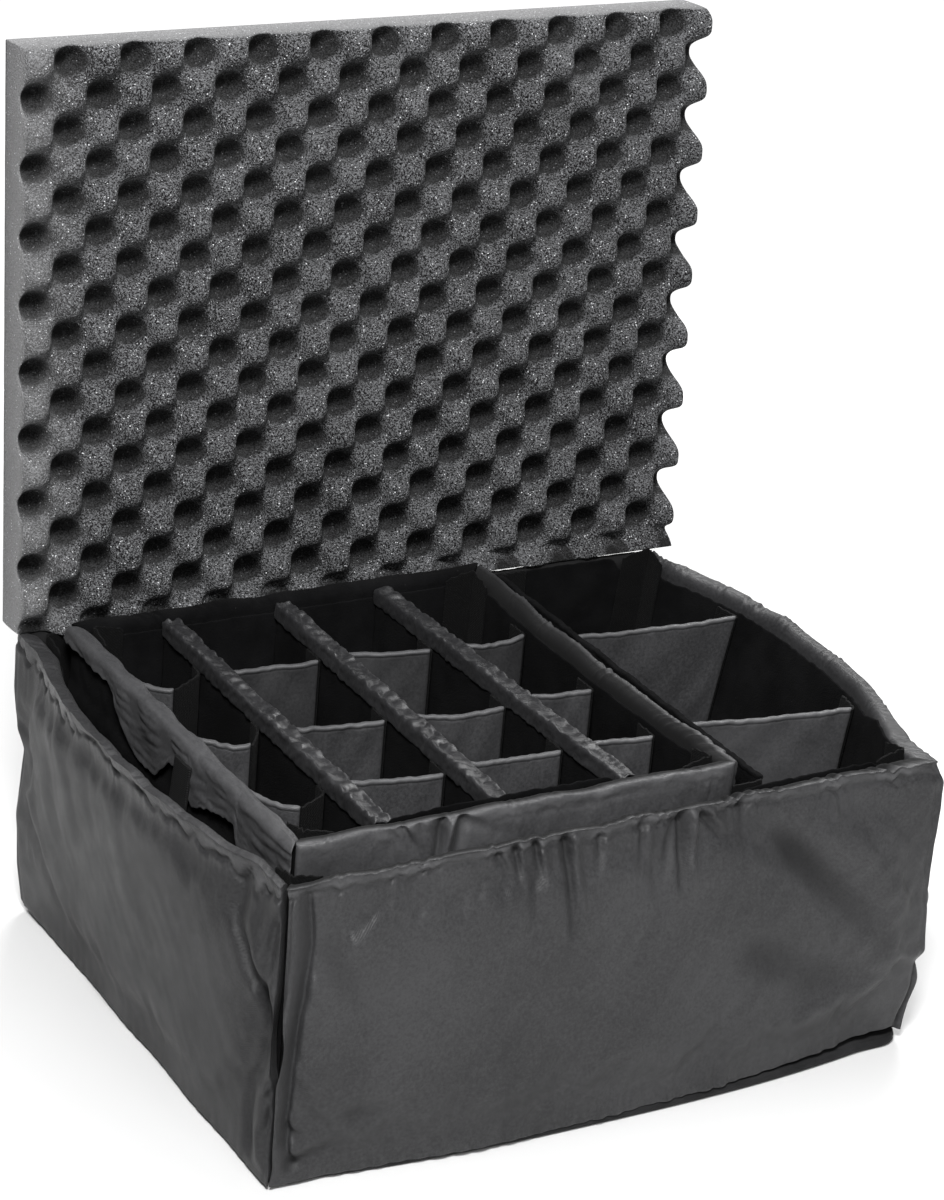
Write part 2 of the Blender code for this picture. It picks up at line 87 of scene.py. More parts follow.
TRAY_HEIGHT = 0.105
TRAY_FLOOR = 0.008
TRAY_END_ROOM = 0.011
TRAY_SIDE_ROOM = 0.0012
LONG_THICKNESS = 0.015
LONG_DROP = 0.0015
CROSS_THICKNESS = 0.0045
CROSS_DROP = 0.0115
TAB_THICKNESS = 0.0018
TAB_LENGTH = 0.024
FOLD = 0.003
BAY_WIDTH = 0.132
BAY_GAP = 0.0145
BAY_THICKNESS = 0.005
BAY_DIVIDER_TOP = 0.240
BAY_CROSS_TOP = 0.226
BAY_FLAP = 0.027
WEB_WIDTH = 0.025
WEB_THICKNESS = 0.0032
WEB_DROP = 0.012
WEB_LENGTH = 0.052
WEB_CURL = 0.004
WEB_SHARE = -0.15
LID_WIDTH = 0.5714
LID_HEIGHT = 0.4439
LID_PEAK = 0.047
LID_VALLEY = 0.022
LID_PITCH = 0.0506
LID_FIRST_COLUMN = 0.011
LID_FIRST_ROW = 0.0122
LID_LEAN = math.radians(3.15)
LID_SHIFT = 0.004
LID_TRAY_GAP = 0.0018
SETTLE_SHARES = {
    (-1, -1): (-0.25, -0.08), (1, -1): (-0.78, 0.61), (1, 1): (0.67, -0.99), (-1, 1): (-0.60, 0.20),
}
SETTLE_POWER = 1.5
BOW_POWER = 1.6
BOW_FLATNESS = 2.5
BOW_TAPED = 1 / 12
LONG_SHARES = [(0.197, 0.190), (0.487, 0.474), (0.750, 0.784)]
BENT_SHARES = [(0.61, 0.46, 0.58, 0.43), (0.03, -0.118, 0.01, 0.68), (-0.47, -0.68, -0.59, 0.50)]
CROSS_SHARES = [
    [(0.54, 0.51, 0.0), (-0.045, -0.110, 0.0), (-0.555, -0.627, 0.0)],
    [(0.54, 0.445, 0.0), (-0.100, -0.163, -0.030), (-0.575, -0.610, 0.0)],
    [(0.475, 0.450, -0.045), (-0.100, -0.145, 0.0), (-0.570, -0.623, 0.0)],
]
BAY_CROSS_SHARES = [(0.46, 0.40), (-0.36, -0.47)]
LOWER_LONG_SHARES = [1 / 3, 2 / 3]
LOWER_CROSS_SHARES = [0.56, 0.40, 0.52]

# Places worked out from the sizes
WALL_BUILD = WALL_THICKNESS + GAP + LINING_THICKNESS
INNER_HALF_X = BOX_HALF_X - WALL_BUILD
INNER_HALF_Y = BOX_HALF_Y - WALL_BUILD
WALL_FOOT = FLOOR_THICKNESS + GAP
TRAY_RIM = BOX_HEIGHT + TRAY_PROUD
TRAY_BOTTOM = TRAY_RIM - TRAY_HEIGHT
TRAY_WALL_FOOT = TRAY_BOTTOM + TRAY_FLOOR + GAP
BAY_RIGHT_FACE = INNER_HALF_X - BAY_WIDTH
BAY_X = BAY_RIGHT_FACE - BAY_THICKNESS / 2
TRAY_LEFT = -INNER_HALF_X + CORNER_TAPE + TRAY_SIDE_ROOM
TRAY_RIGHT = BAY_RIGHT_FACE - BAY_THICKNESS - BAY_GAP
TRAY_HALF_Y = INNER_HALF_Y - TRAY_END_ROOM
TRAY_INNER_Y = TRAY_HALF_Y - WALL_BUILD
LID_FRONT = TRAY_HALF_Y + WALL_CROWN + LID_TRAY_GAP
LID_BACK = LID_FRONT + LID_PEAK
LID_REST_Y = INNER_HALF_Y + SETTLE * 0.20
LID_FOOT = BOX_HEIGHT + CORNER_PROUD + SEAT_GAP - (LID_BACK - LID_REST_Y) * math.tan(LID_LEAN)

Box = namedtuple("Box", "x_mid half_x half_y z_low z_high settle rim_bows foot_bows")
BOX = Box(
    0.0, BOX_HALF_X, BOX_HALF_Y, WALL_FOOT, BOX_HEIGHT,
    SETTLE, {"right": 0.034, "left": 0.029}, {"front": 0.014},
)
TRAY = Box(
    (TRAY_LEFT + TRAY_RIGHT) / 2, (TRAY_RIGHT - TRAY_LEFT) / 2, TRAY_HALF_Y,
    TRAY_WALL_FOOT, TRAY_RIM, 0.0, {"right": -0.006}, {},
)
SIDES = {
    "front": ((-1, -1), (1, -1), (0, -1)),
    "right": ((1, -1), (1, 1), (1, 0)),
    "back": ((1, 1), (-1, 1), (0, 1)),
    "left": ((-1, 1), (-1, -1), (-1, 0)),
}
CORNERS = {
    "front_left": ("left", "front"), "front_right": ("front", "right"),
    "back_right": ("right", "back"), "back_left": ("back", "left"),
}

# Mesh spacing
STEP = 0.004
FINE_STEP = 0.0018


# ---------------------------------------------------------------- Places

def blend(low, high, share):
    return low + (high - low) * share


def smooth_step(value):
    value = np.clip(value, 0.0, 1.0)
    return value * value * (3 - 2 * value)


def bow_profile(share):
    free = np.clip((share - BOW_TAPED) / (1 - 2 * BOW_TAPED), 0.0, 1.0)
    return 1 - np.abs(2 * free - 1) ** BOW_FLATNESS


def corner_place(box, corner, height, inset):
    settle = [share * box.settle * height ** SETTLE_POWER for share in SETTLE_SHARES[corner]]
    return (
        box.x_mid + corner[0] * (box.half_x - inset) + settle[0],
        corner[1] * (box.half_y - inset) + settle[1],
    )


def side_place(box, side, share, z, inset):
    """Plan places on one side of a box, at shares of its run, heights and insets (arrays)."""
    start, end, outward = SIDES[side]
    height = np.clip((z - box.z_low) / (box.z_high - box.z_low), 0.0, 1.0)
    first = corner_place(box, start, height, inset)
    last = corner_place(box, end, height, inset)
    bow = box.rim_bows.get(side, 0.0) * height ** BOW_POWER
    bow = (bow + box.foot_bows.get(side, 0.0) * (1 - height) ** BOW_POWER) * bow_profile(share)
    return [blend(first[axis], last[axis], share) + outward[axis] * bow for axis in (0, 1)]


def side_length(box, side):
    return 2 * (box.half_x if side in ("front", "back") else box.half_y)


def run_place(box, side, share):
    """The nominal x (front, back) or y of a share of a side's run."""
    start, end, _ = SIDES[side]
    if side in ("front", "back"):
        return box.x_mid + box.half_x * blend(start[0], end[0], share)
    return box.half_y * blend(start[1], end[1], share)


def face_at(box, side, coordinate, z, inset=WALL_BUILD):
    """The other plan coordinate of a side where it crosses a given x (front, back) or y."""
    start, end, _ = SIDES[side]
    height = np.clip((z - box.z_low) / (box.z_high - box.z_low), 0.0, 1.0)
    axis = 0 if side in ("front", "back") else 1
    first = corner_place(box, start, height, inset)[axis]
    last = corner_place(box, end, height, inset)[axis]
    return side_place(box, side, (coordinate - first) / (last - first), z, inset)[1 - axis]


def long_x():
    left, right = TRAY_LEFT + WALL_BUILD, TRAY_RIGHT - WALL_BUILD
    return [tuple(blend(left, right, share) for share in pair) for pair in LONG_SHARES]


LONG_X = long_x()


def long_face(index, y, side):
    rear, front = LONG_X[index]
    return blend(rear, front, (TRAY_INNER_Y - y) / (2 * TRAY_INNER_Y)) + side * LONG_THICKNESS / 2


def column_faces(column, y):
    left = TRAY_LEFT + WALL_BUILD if column == 0 else long_face(column - 1, y, 1)
    if column == len(LONG_X):
        return left, face_at(TRAY, "right", y, TRAY_RIM) - (SEAT_GAP - GAP)
    return left, long_face(column, y, -1)


# ---------------------------------------------------------------- Mesh builders

def add_mesh(name, points, faces, look, body, slot, nodes=(), fill=None, levels=1, marks=None):
    """One finished piece: its mesh, look, body and what it replaces; its slot is not used."""
    mesh = bpy.data.meshes.new(name)
    mesh.from_pydata([tuple(point) for point in points], [], [tuple(face) for face in faces])
    shape = bmesh.new()
    shape.from_mesh(mesh)
    bmesh.ops.recalc_face_normals(shape, faces=shape.faces)
    if shape.calc_volume(signed=True) < 0:
        bmesh.ops.reverse_faces(shape, faces=shape.faces)
    shape.to_mesh(mesh)
    shape.free()
    for key, values in (marks or {}).items():
        layer = mesh.attributes.new(key, "FLOAT", "POINT")
        layer.data.foreach_set("value", np.asarray(values, dtype=np.float32))
    mesh.materials.append(LOOKS[look])
    mesh.polygons.foreach_set("use_smooth", [True] * len(mesh.polygons))
    made = bpy.data.objects.new(name, mesh)
    bpy.context.scene.collection.objects.link(made)
    if levels:
        smooth = made.modifiers.new("smooth", "SUBSURF")
        smooth.levels = smooth.render_levels = levels
    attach(made, body)
    if nodes:
        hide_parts(*nodes)
    return made


def slab_parts(left, right):
    """Points and faces of a closed slab between two grids of the same shape (stations, rows, 3)."""
    stations, rows = left.shape[:2]
    points = np.concatenate([left.reshape(-1, 3), right.reshape(-1, 3)])
    offset = stations * rows
    faces = []

    def at(station, row, far):
        return station * rows + row + far * offset

    for station in range(stations - 1):
        for row in range(rows - 1):
            a, b = at(station, row, 0), at(station + 1, row, 0)
            faces.append((a, b, b + 1, a + 1))
            a, b = at(station, row, 1), at(station + 1, row, 1)
            faces.append((a, a + 1, b + 1, b))
        for row in (0, rows - 1):
            ends = ((station, row, 0), (station + 1, row, 0), (station + 1, row, 1), (station, row, 1))
            faces.append(tuple(at(*end) for end in ends))
    for row in range(rows - 1):
        for station in (0, stations - 1):
            ends = ((station, row, 0), (station, row + 1, 0), (station, row + 1, 1), (station, row, 1))
            faces.append(tuple(at(*end) for end in ends))
    return points, faces


def add_slab(name, left, right, look, body, slot, marks=None, **words):
    """A slab; marks are values for its two faces, over stations and rows, over rows or alone."""
    points, faces = slab_parts(left, right)
    spread = {
        key: np.concatenate([np.broadcast_to(face, left.shape[:2]).ravel() for face in pair])
        for key, pair in (marks or {}).items()
    }
    return add_mesh(name, points, faces, look, body, slot, marks=spread, **words)


def edge_rows(low, high, foot, top, step, fine_depth=0.0, fine=FINE_STEP, turns=5):
    """Heights up a padded face and how far each is drawn in by the rounded foot and rim."""
    angles = np.linspace(0.0, math.pi / 2, turns + 1)
    heights = list(low + foot * (1 - np.cos(angles)))
    insets = list(foot * (1 - np.sin(angles)))
    start, end = low + foot, high - top
    breaks = max(end - fine_depth, start)
    count = max(round((breaks - start) / step), 1)
    heights += list(np.linspace(start, breaks, count + 1)[1:])
    if fine_depth:
        heights += list(np.linspace(breaks, end, max(round(fine_depth / fine), 1) + 1)[1:])
    insets += [0.0] * (len(heights) - len(insets))
    heights += list(high - top * (1 - np.cos(angles[::-1][1:])))
    insets += list(top * (1 - np.sin(angles[::-1][1:])))
    return np.array(heights), np.array(insets)


def run_shares(length, step=STEP, end=0.018, fine=0.002):
    """Shares along a run, fine near both ends."""
    near = np.linspace(0.0, end, round(end / fine) + 1)
    middle = np.linspace(end, length - end, round((length - 2 * end) / step) + 1)
    return np.concatenate([near, middle[1:-1], length - near[::-1]]) / length


class Ripples:
    """Smooth noise over a face: a seeded sum of plane waves of given lengths."""

    def __init__(self, seed, along, up, waves=12):
        draw = np.random.default_rng(seed)
        self.along = 2 * math.pi / along * draw.uniform(0.5, 1.6, waves) * draw.choice([-1, 1], waves)
        self.up = 2 * math.pi / up * draw.uniform(0.4, 1.6, waves)
        self.phase = draw.uniform(0, 2 * math.pi, waves)

    def __call__(self, along, up=0.0):
        along, up = np.broadcast_arrays(along, up)
        total = np.zeros(along.shape)
        for a, b, phase in zip(self.along, self.up, self.phase):
            total += np.sin(a * along + b * up + phase)
        return total * math.sqrt(2 / len(self.phase))

    def creases(self, along, up=0.0):
        """The same noise with sharp valleys, as in crumpled cloth, from -1 to about 0.5."""
        return np.abs(self(along, up)) - 0.8


Crease = namedtuple("Crease", "c0 z0 c1 z1 width depth ridge")


def crease_depth(creases, c, z):
    """Outward push of a list of creases: a valley along each segment, a ridge beside it."""
    total = np.zeros(np.broadcast(c, z).shape)
    for fold in creases:
        run = np.array([fold.c1 - fold.c0, fold.z1 - fold.z0])
        length = max(np.hypot(*run), 1e-6)
        run = run / length
        along = (c - fold.c0) * run[0] + (z - fold.z0) * run[1]
        aside = (c - fold.c0) * -run[1] + (z - fold.z0) * run[0]
        over = np.maximum(np.maximum(-along, along - length), 0.0)
        fade = np.exp(-(over / (1.6 * fold.width)) ** 2) * (1 - 0.7 * np.clip(along / length, 0.0, 1.0))
        valley = np.exp(-(aside / fold.width) ** 2)
        beside = np.exp(-((aside - 1.9 * fold.width) / (1.3 * fold.width)) ** 2)
        total += fade * (fold.ridge * beside - valley) * fold.depth
    return total


def polyline(points, step, rounds=2):
    """A plan path, its corners cut by Chaikin's rule, resampled at even steps."""
    path = np.array(points, dtype=float)
    for _ in range(rounds):
        cut = np.empty((2 * len(path) - 2, path.shape[1]))
        cut[0::2] = 0.75 * path[:-1] + 0.25 * path[1:]
        cut[1::2] = 0.25 * path[:-1] + 0.75 * path[1:]
        path = np.concatenate([path[:1], cut, path[-1:]])
    lengths = np.concatenate([[0.0], np.cumsum(np.hypot(*np.diff(path[:, :2], axis=0).T))])
    count = max(round(lengths[-1] / step), 2)
    places = np.linspace(0.0, lengths[-1], count + 1)
    return np.stack([np.interp(places, lengths, path[:, k]) for k in range(path.shape[1])], axis=1)


def normals_of(path):
    tangent = np.gradient(path[:, :2], axis=0)
    tangent /= np.maximum(np.hypot(*tangent.T), 1e-9)[:, None]
    return np.stack([-tangent[:, 1], tangent[:, 0]], axis=1)


def add_ribbon(
    name, path, half, heights, insets, look, body, slot, shift=None, wave=None, lean=None, **words
):
    """A standing ribbon along a plan path: half may vary along it and up it; wave moves both
    faces sideways, shift moves heights, and lean moves each point after that."""
    normals = normals_of(path)
    lengths = np.concatenate([[0.0], np.cumsum(np.hypot(*np.diff(path[:, :2], axis=0).T))])
    along, up = np.meshgrid(lengths, heights, indexing="ij")
    reach = np.broadcast_to(half, along.shape) - insets[None, :]
    aside = wave(along, up) if wave else np.zeros(along.shape)
    z = up + (shift(along, up) if shift else 0.0)
    grids = []
    for sign in (1, -1):
        places = path[:, None, :2] + normals[:, None, :] * (sign * reach + aside)[:, :, None]
        grid = np.concatenate([places, z[:, :, None]], axis=2)
        if lean:
            grid[:, :, 0] += lean(grid)
        grids.append(grid)
    return add_slab(name, *grids, look, body, slot, **words)


# ---------------------------------------------------------------- Looks

class Look:
    """A procedural material on object coordinates, so that it moves with its piece."""

    def __init__(self, name, roughness, **constants):
        self.made = bpy.data.materials.new(name)
        self.made.use_nodes = True
        self.tree = self.made.node_tree
        self.shader = self.tree.nodes["Principled BSDF"]
        self.shader.inputs["Roughness"].default_value = roughness
        for socket, value in constants.items():
            self.shader.inputs[socket.replace("_", " ")].default_value = value
        self.place = self.tree.nodes.new("ShaderNodeTexCoord").outputs["Object"]

    def link(self, source, socket):
        self.tree.links.new(source, socket)

    def node(self, kind, inputs=(), **settings):
        made = self.tree.nodes.new(kind)
        for key, value in settings.items():
            setattr(made, key, value)
        for key, value in dict(inputs).items():
            if hasattr(value, "is_output"):
                self.link(value, made.inputs[key])
            else:
                made.inputs[key].default_value = value
        return made

    def noise(self, scale, detail=3.0, roughness=0.5, distortion=0.0, place=None):
        return self.node("ShaderNodeTexNoise", {
            "Vector": place or self.place, "Scale": scale, "Detail": detail, "Roughness": roughness,
            "Distortion": distortion,
        }).outputs["Fac"]

    def span(self, value, low, high, to_low=0.0, to_high=1.0):
        return self.node("ShaderNodeMapRange", {
            "Value": value, "From Min": low, "From Max": high, "To Min": to_low, "To Max": to_high,
        }).outputs["Result"]

    def math(self, operation, a, b=0.0):
        return self.node("ShaderNodeMath", {0: a, 1: b}, operation=operation).outputs[0]

    def mix(self, share, a, b):
        made = self.node("ShaderNodeMix", {"Factor": share}, data_type="RGBA")
        for key, value in (("A", a), ("B", b)):
            socket = next(entry for entry in made.inputs if entry.name == key and entry.type == "RGBA")
            if hasattr(value, "is_output"):
                self.link(value, socket)
            else:
                socket.default_value = (*value, 1.0)
        return next(entry for entry in made.outputs if entry.type == "RGBA")

    def bump(self, height, distance, strength=1.0, below=None):
        inputs = {"Height": height, "Distance": distance, "Strength": strength}
        if below:
            inputs["Normal"] = below
        return self.node("ShaderNodeBump", inputs).outputs["Normal"]

    def threads(self, pitch):
        """Warp and weft ribs: one set runs level, the other upright on any wall."""
        split = self.node("ShaderNodeSeparateXYZ", {0: self.place})
        x, y, z = split.outputs
        turn = 2 * math.pi / pitch
        warp = self.math("SINE", self.math("MULTIPLY", self.math("ADD", x, y), turn))
        weft = self.math("SINE", self.math("MULTIPLY", z, turn))
        return self.math("MULTIPLY", warp, weft)

    def hollows(self, column, row):
        """How deep in a hollow of the foam a place is, for painted shade, from its lattice column and row:
        a disc with a crisp edge at the lower right that fades at the upper left, where the light comes from, around a
        darker core."""
        turned = []
        for operation in ("ADD", "SUBTRACT"):
            place = self.math("SUBTRACT", self.math(operation, column, row), 0.5)
            turned.append(self.math("SUBTRACT", place, self.math("ROUND", place)))
        across = self.math("MULTIPLY", self.math("ADD", *turned), 0.5)
        down = self.math("MULTIPLY", self.math("SUBTRACT", *turned), 0.58)

        def reach(right, below):
            shifted = [
                self.math("POWER", self.math("SUBTRACT", value, off), 2.0)
                for value, off in ((across, right), (down, below))
            ]
            return self.math("SQRT", self.math("ADD", *shifted))

        toward = self.math("ADD", across, self.math("MULTIPLY", down, 0.7))
        full = self.span(reach(0.0, 0.0), 0.275, 0.235)
        disc = self.math("MULTIPLY", full, self.span(toward, -0.26, 0.02, 0.25, 1.0))
        core = self.span(reach(-0.050, -0.005), 0.23, 0.09)
        return self.math("MAXIMUM", self.math("MULTIPLY", disc, 0.86), core)

    def finish(self, colour=None, roughness=None, normal=None):
        for key, value in (("Base Color", colour), ("Roughness", roughness), ("Normal", normal)):
            if value is None:
                continue
            if isinstance(value, tuple):
                self.shader.inputs[key].default_value = (*value, 1.0)
            else:
                self.link(value, self.shader.inputs[key])
        return self.made


def nylon_look(name, dark, light, roughness=0.38, gloss=0.27):
    """Coated nylon cloth. One mark darkens it to the loop cloth's colour: the lining sewn behind it, and
    painted shade in creases, seams and shaded faces. Another makes it paler: painted highlights and painted light."""
    look = Look(name, roughness, Sheen_Weight=0.02, Sheen_Roughness=0.45, Specular_IOR_Level=gloss)
    lining_and_shade = look.node("ShaderNodeAttribute", attribute_name="lining_and_shade").outputs["Fac"]
    wear_and_painted_light = look.node("ShaderNodeAttribute", attribute_name="wear_and_painted_light").outputs["Fac"]
    cloudy = look.noise(9.0, 4.0, 0.55)
    fine = look.noise(420.0, 3.0, 0.8)
    tone = look.math("ADD", look.math("MULTIPLY", cloudy, 0.40), look.math("MULTIPLY", fine, 0.60))
    colour = look.mix(look.span(tone, 0.40, 0.60), dark, light)
    # Painted highlight and painted light: where marked, the colour is mixed toward a paler grey
    painted_light = look.math("MULTIPLY", wear_and_painted_light, look.span(look.noise(90.0, 3.0, 0.6), 0.30, 0.60, 0.45, 1.0))
    colour = look.mix(painted_light, colour, (0.085, 0.085, 0.088))
    # Painted shade and the lining: where marked, the colour is mixed toward the loop cloth's near-black
    colour = look.mix(lining_and_shade, colour, (0.0042, 0.0042, 0.0045))
    rough = look.span(look.noise(34.0, 3.0), 0.3, 0.7, roughness - 0.05, roughness + 0.07)
    rough = look.math("ADD", rough, look.math("MULTIPLY", lining_and_shade, 0.5))
    weave = look.bump(look.threads(0.0011), 0.00008, 0.9)
    crumple = look.bump(look.noise(110.0, 4.0, 0.6, 0.4), 0.0005, 0.6, weave)
    return look.finish(colour, rough, crumple)


def loop_look():
    look = Look("loop_lining", 0.95, Sheen_Weight=0.01, Sheen_Roughness=0.6, Specular_IOR_Level=0.03)
    nap = look.noise(700.0, 4.0, 0.7)
    wear_and_painted_light = look.noise(26.0, 4.0, 0.6)
    colour = look.mix(look.span(wear_and_painted_light, 0.35, 0.7), (0.0022, 0.0022, 0.0024), (0.0062, 0.0062, 0.0066))
    lint = look.node("ShaderNodeTexVoronoi", {"Vector": look.place, "Scale": 140.0, "Randomness": 1.0})
    speck = look.span(lint.outputs["Distance"], 0.07, 0.03)
    keep = look.span(look.noise(60.0, 1.0), 0.60, 0.66)
    glint = look.math("MULTIPLY", look.math("MULTIPLY", speck, keep), 0.35)
    colour = look.mix(glint, colour, (0.10, 0.10, 0.10))
    fuzz = look.bump(nap, 0.0012, 0.9)
    soft = look.bump(wear_and_painted_light, 0.004, 0.4, fuzz)
    return look.finish(colour, None, soft)


def hook_look():
    look = Look("hook_tape", 0.75, Sheen_Weight=0.02, Sheen_Roughness=0.5, Specular_IOR_Level=0.12)
    hooks = look.node("ShaderNodeTexVoronoi", {"Vector": look.place, "Scale": 620.0, "Randomness": 0.55})
    ribs = look.threads(0.0022)
    apart = look.span(hooks.outputs["Distance"], 0.15, 0.6)
    colour = look.mix(apart, (0.0034, 0.0034, 0.0036), (0.0014, 0.0014, 0.0015))
    grain = look.bump(hooks.outputs["Distance"], -0.0006, 0.9)
    return look.finish(colour, None, look.bump(ribs, 0.00025, 0.6, grain))


def webbing_look():
    look = Look("webbing", 0.65, Sheen_Weight=0.02, Sheen_Roughness=0.5, Specular_IOR_Level=0.15)
    ribs = look.threads(0.0019)
    tone = look.math("ADD", look.math("MULTIPLY", ribs, 0.4), look.noise(300.0, 2.0))
    colour = look.mix(look.span(tone, 0.2, 0.9), (0.003, 0.003, 0.0032), (0.011, 0.011, 0.0115))
    return look.finish(colour, None, look.bump(ribs, 0.0004, 0.8))


def base_look():
    look = Look("base_panel", 0.75, Sheen_Weight=0.02, Sheen_Roughness=0.5, Specular_IOR_Level=0.15)
    tone = look.noise(45.0, 4.0, 0.6)
    colour = look.mix(look.span(tone, 0.35, 0.65), (0.008, 0.008, 0.0085), (0.020, 0.020, 0.021))
    grain = look.bump(look.threads(0.0014), 0.0002, 0.7)
    return look.finish(colour, None, look.bump(tone, 0.0015, 0.5, grain))


def foam_look():
    """Open-cell foam: painted shade in its hollows, pale where it was sawn, with bright specks."""
    look = Look("lid_foam", 0.95, Sheen_Weight=0.03, Sheen_Roughness=0.7, Specular_IOR_Level=0.10)
    places = [look.node("ShaderNodeAttribute", attribute_name=key).outputs["Fac"] for key in ("column", "row")]
    hollow = look.hollows(*places)
    sawn_and_painted_light = look.node("ShaderNodeAttribute", attribute_name="sawn_and_painted_light").outputs["Fac"]
    cells = look.node("ShaderNodeTexVoronoi", {"Vector": look.place, "Scale": 620.0, "Randomness": 1.0})
    grain = look.noise(720.0, 2.0, 0.9)
    cloudy = look.noise(14.0, 3.0)
    tone = look.math("ADD", look.math("MULTIPLY", grain, 0.90), look.math("MULTIPLY", cloudy, 0.10))
    colour = look.mix(look.span(tone, 0.46, 0.56), (0.0015, 0.0015, 0.0016), (0.136, 0.138, 0.143))
    # Painted shade: the hollows are darkened toward near-black, crisp at their lower right and fading toward the
    # upper left, where the light comes from
    shade = look.span(hollow, 0.0, 1.0, 1.0, 0.06)
    colour = look.mix(shade, (0.006, 0.006, 0.006), colour)
    # Sawn faces take a paler colour; the same mark carries painted light on a strip of the front by its left edge
    pale = look.mix(look.span(tone, 0.36, 0.64), (0.195, 0.195, 0.197), (0.275, 0.275, 0.279))
    colour = look.mix(sawn_and_painted_light, colour, pale)
    glint = look.node("ShaderNodeTexVoronoi", {"Vector": look.place, "Scale": 400.0, "Randomness": 1.0})
    near, often = look.span(glint.outputs["Distance"], 0.24, 0.14), look.span(look.noise(260.0, 1.0), 0.50, 0.60)
    speck = look.math("MULTIPLY", near, often)
    # The bright specks fade out in the painted shade
    speck = look.math("MULTIPLY", speck, look.math("MULTIPLY", shade, 0.85))
    colour = look.mix(speck, colour, (0.80, 0.81, 0.83))
    pores = look.bump(cells.outputs["Distance"], 0.0012, 0.8)
    return look.finish(colour, None, look.bump(grain, 0.0008, 0.7, pores))


LOOKS = {
    "nylon": nylon_look("nylon", (0.0185, 0.0185, 0.0195), (0.0385, 0.0385, 0.0402)),
    "nylon_trim": nylon_look("nylon_trim", (0.012, 0.012, 0.013), (0.027, 0.027, 0.0285), 0.36, 0.38),
    # A paler copy of the nylon: painted light for the tray's front wall, its wrap and the thin dividers, which get
    # less light
    "nylon_panel": nylon_look("nylon_panel", (0.027, 0.027, 0.0285), (0.056, 0.056, 0.0585), 0.42, 0.3),
    "loop_lining": loop_look(),
    "hook_tape": hook_look(),
    "webbing": webbing_look(),
    "base_panel": base_look(),
    "lid_foam": foam_look(),
}


# ---------------------------------------------------------------- Walls

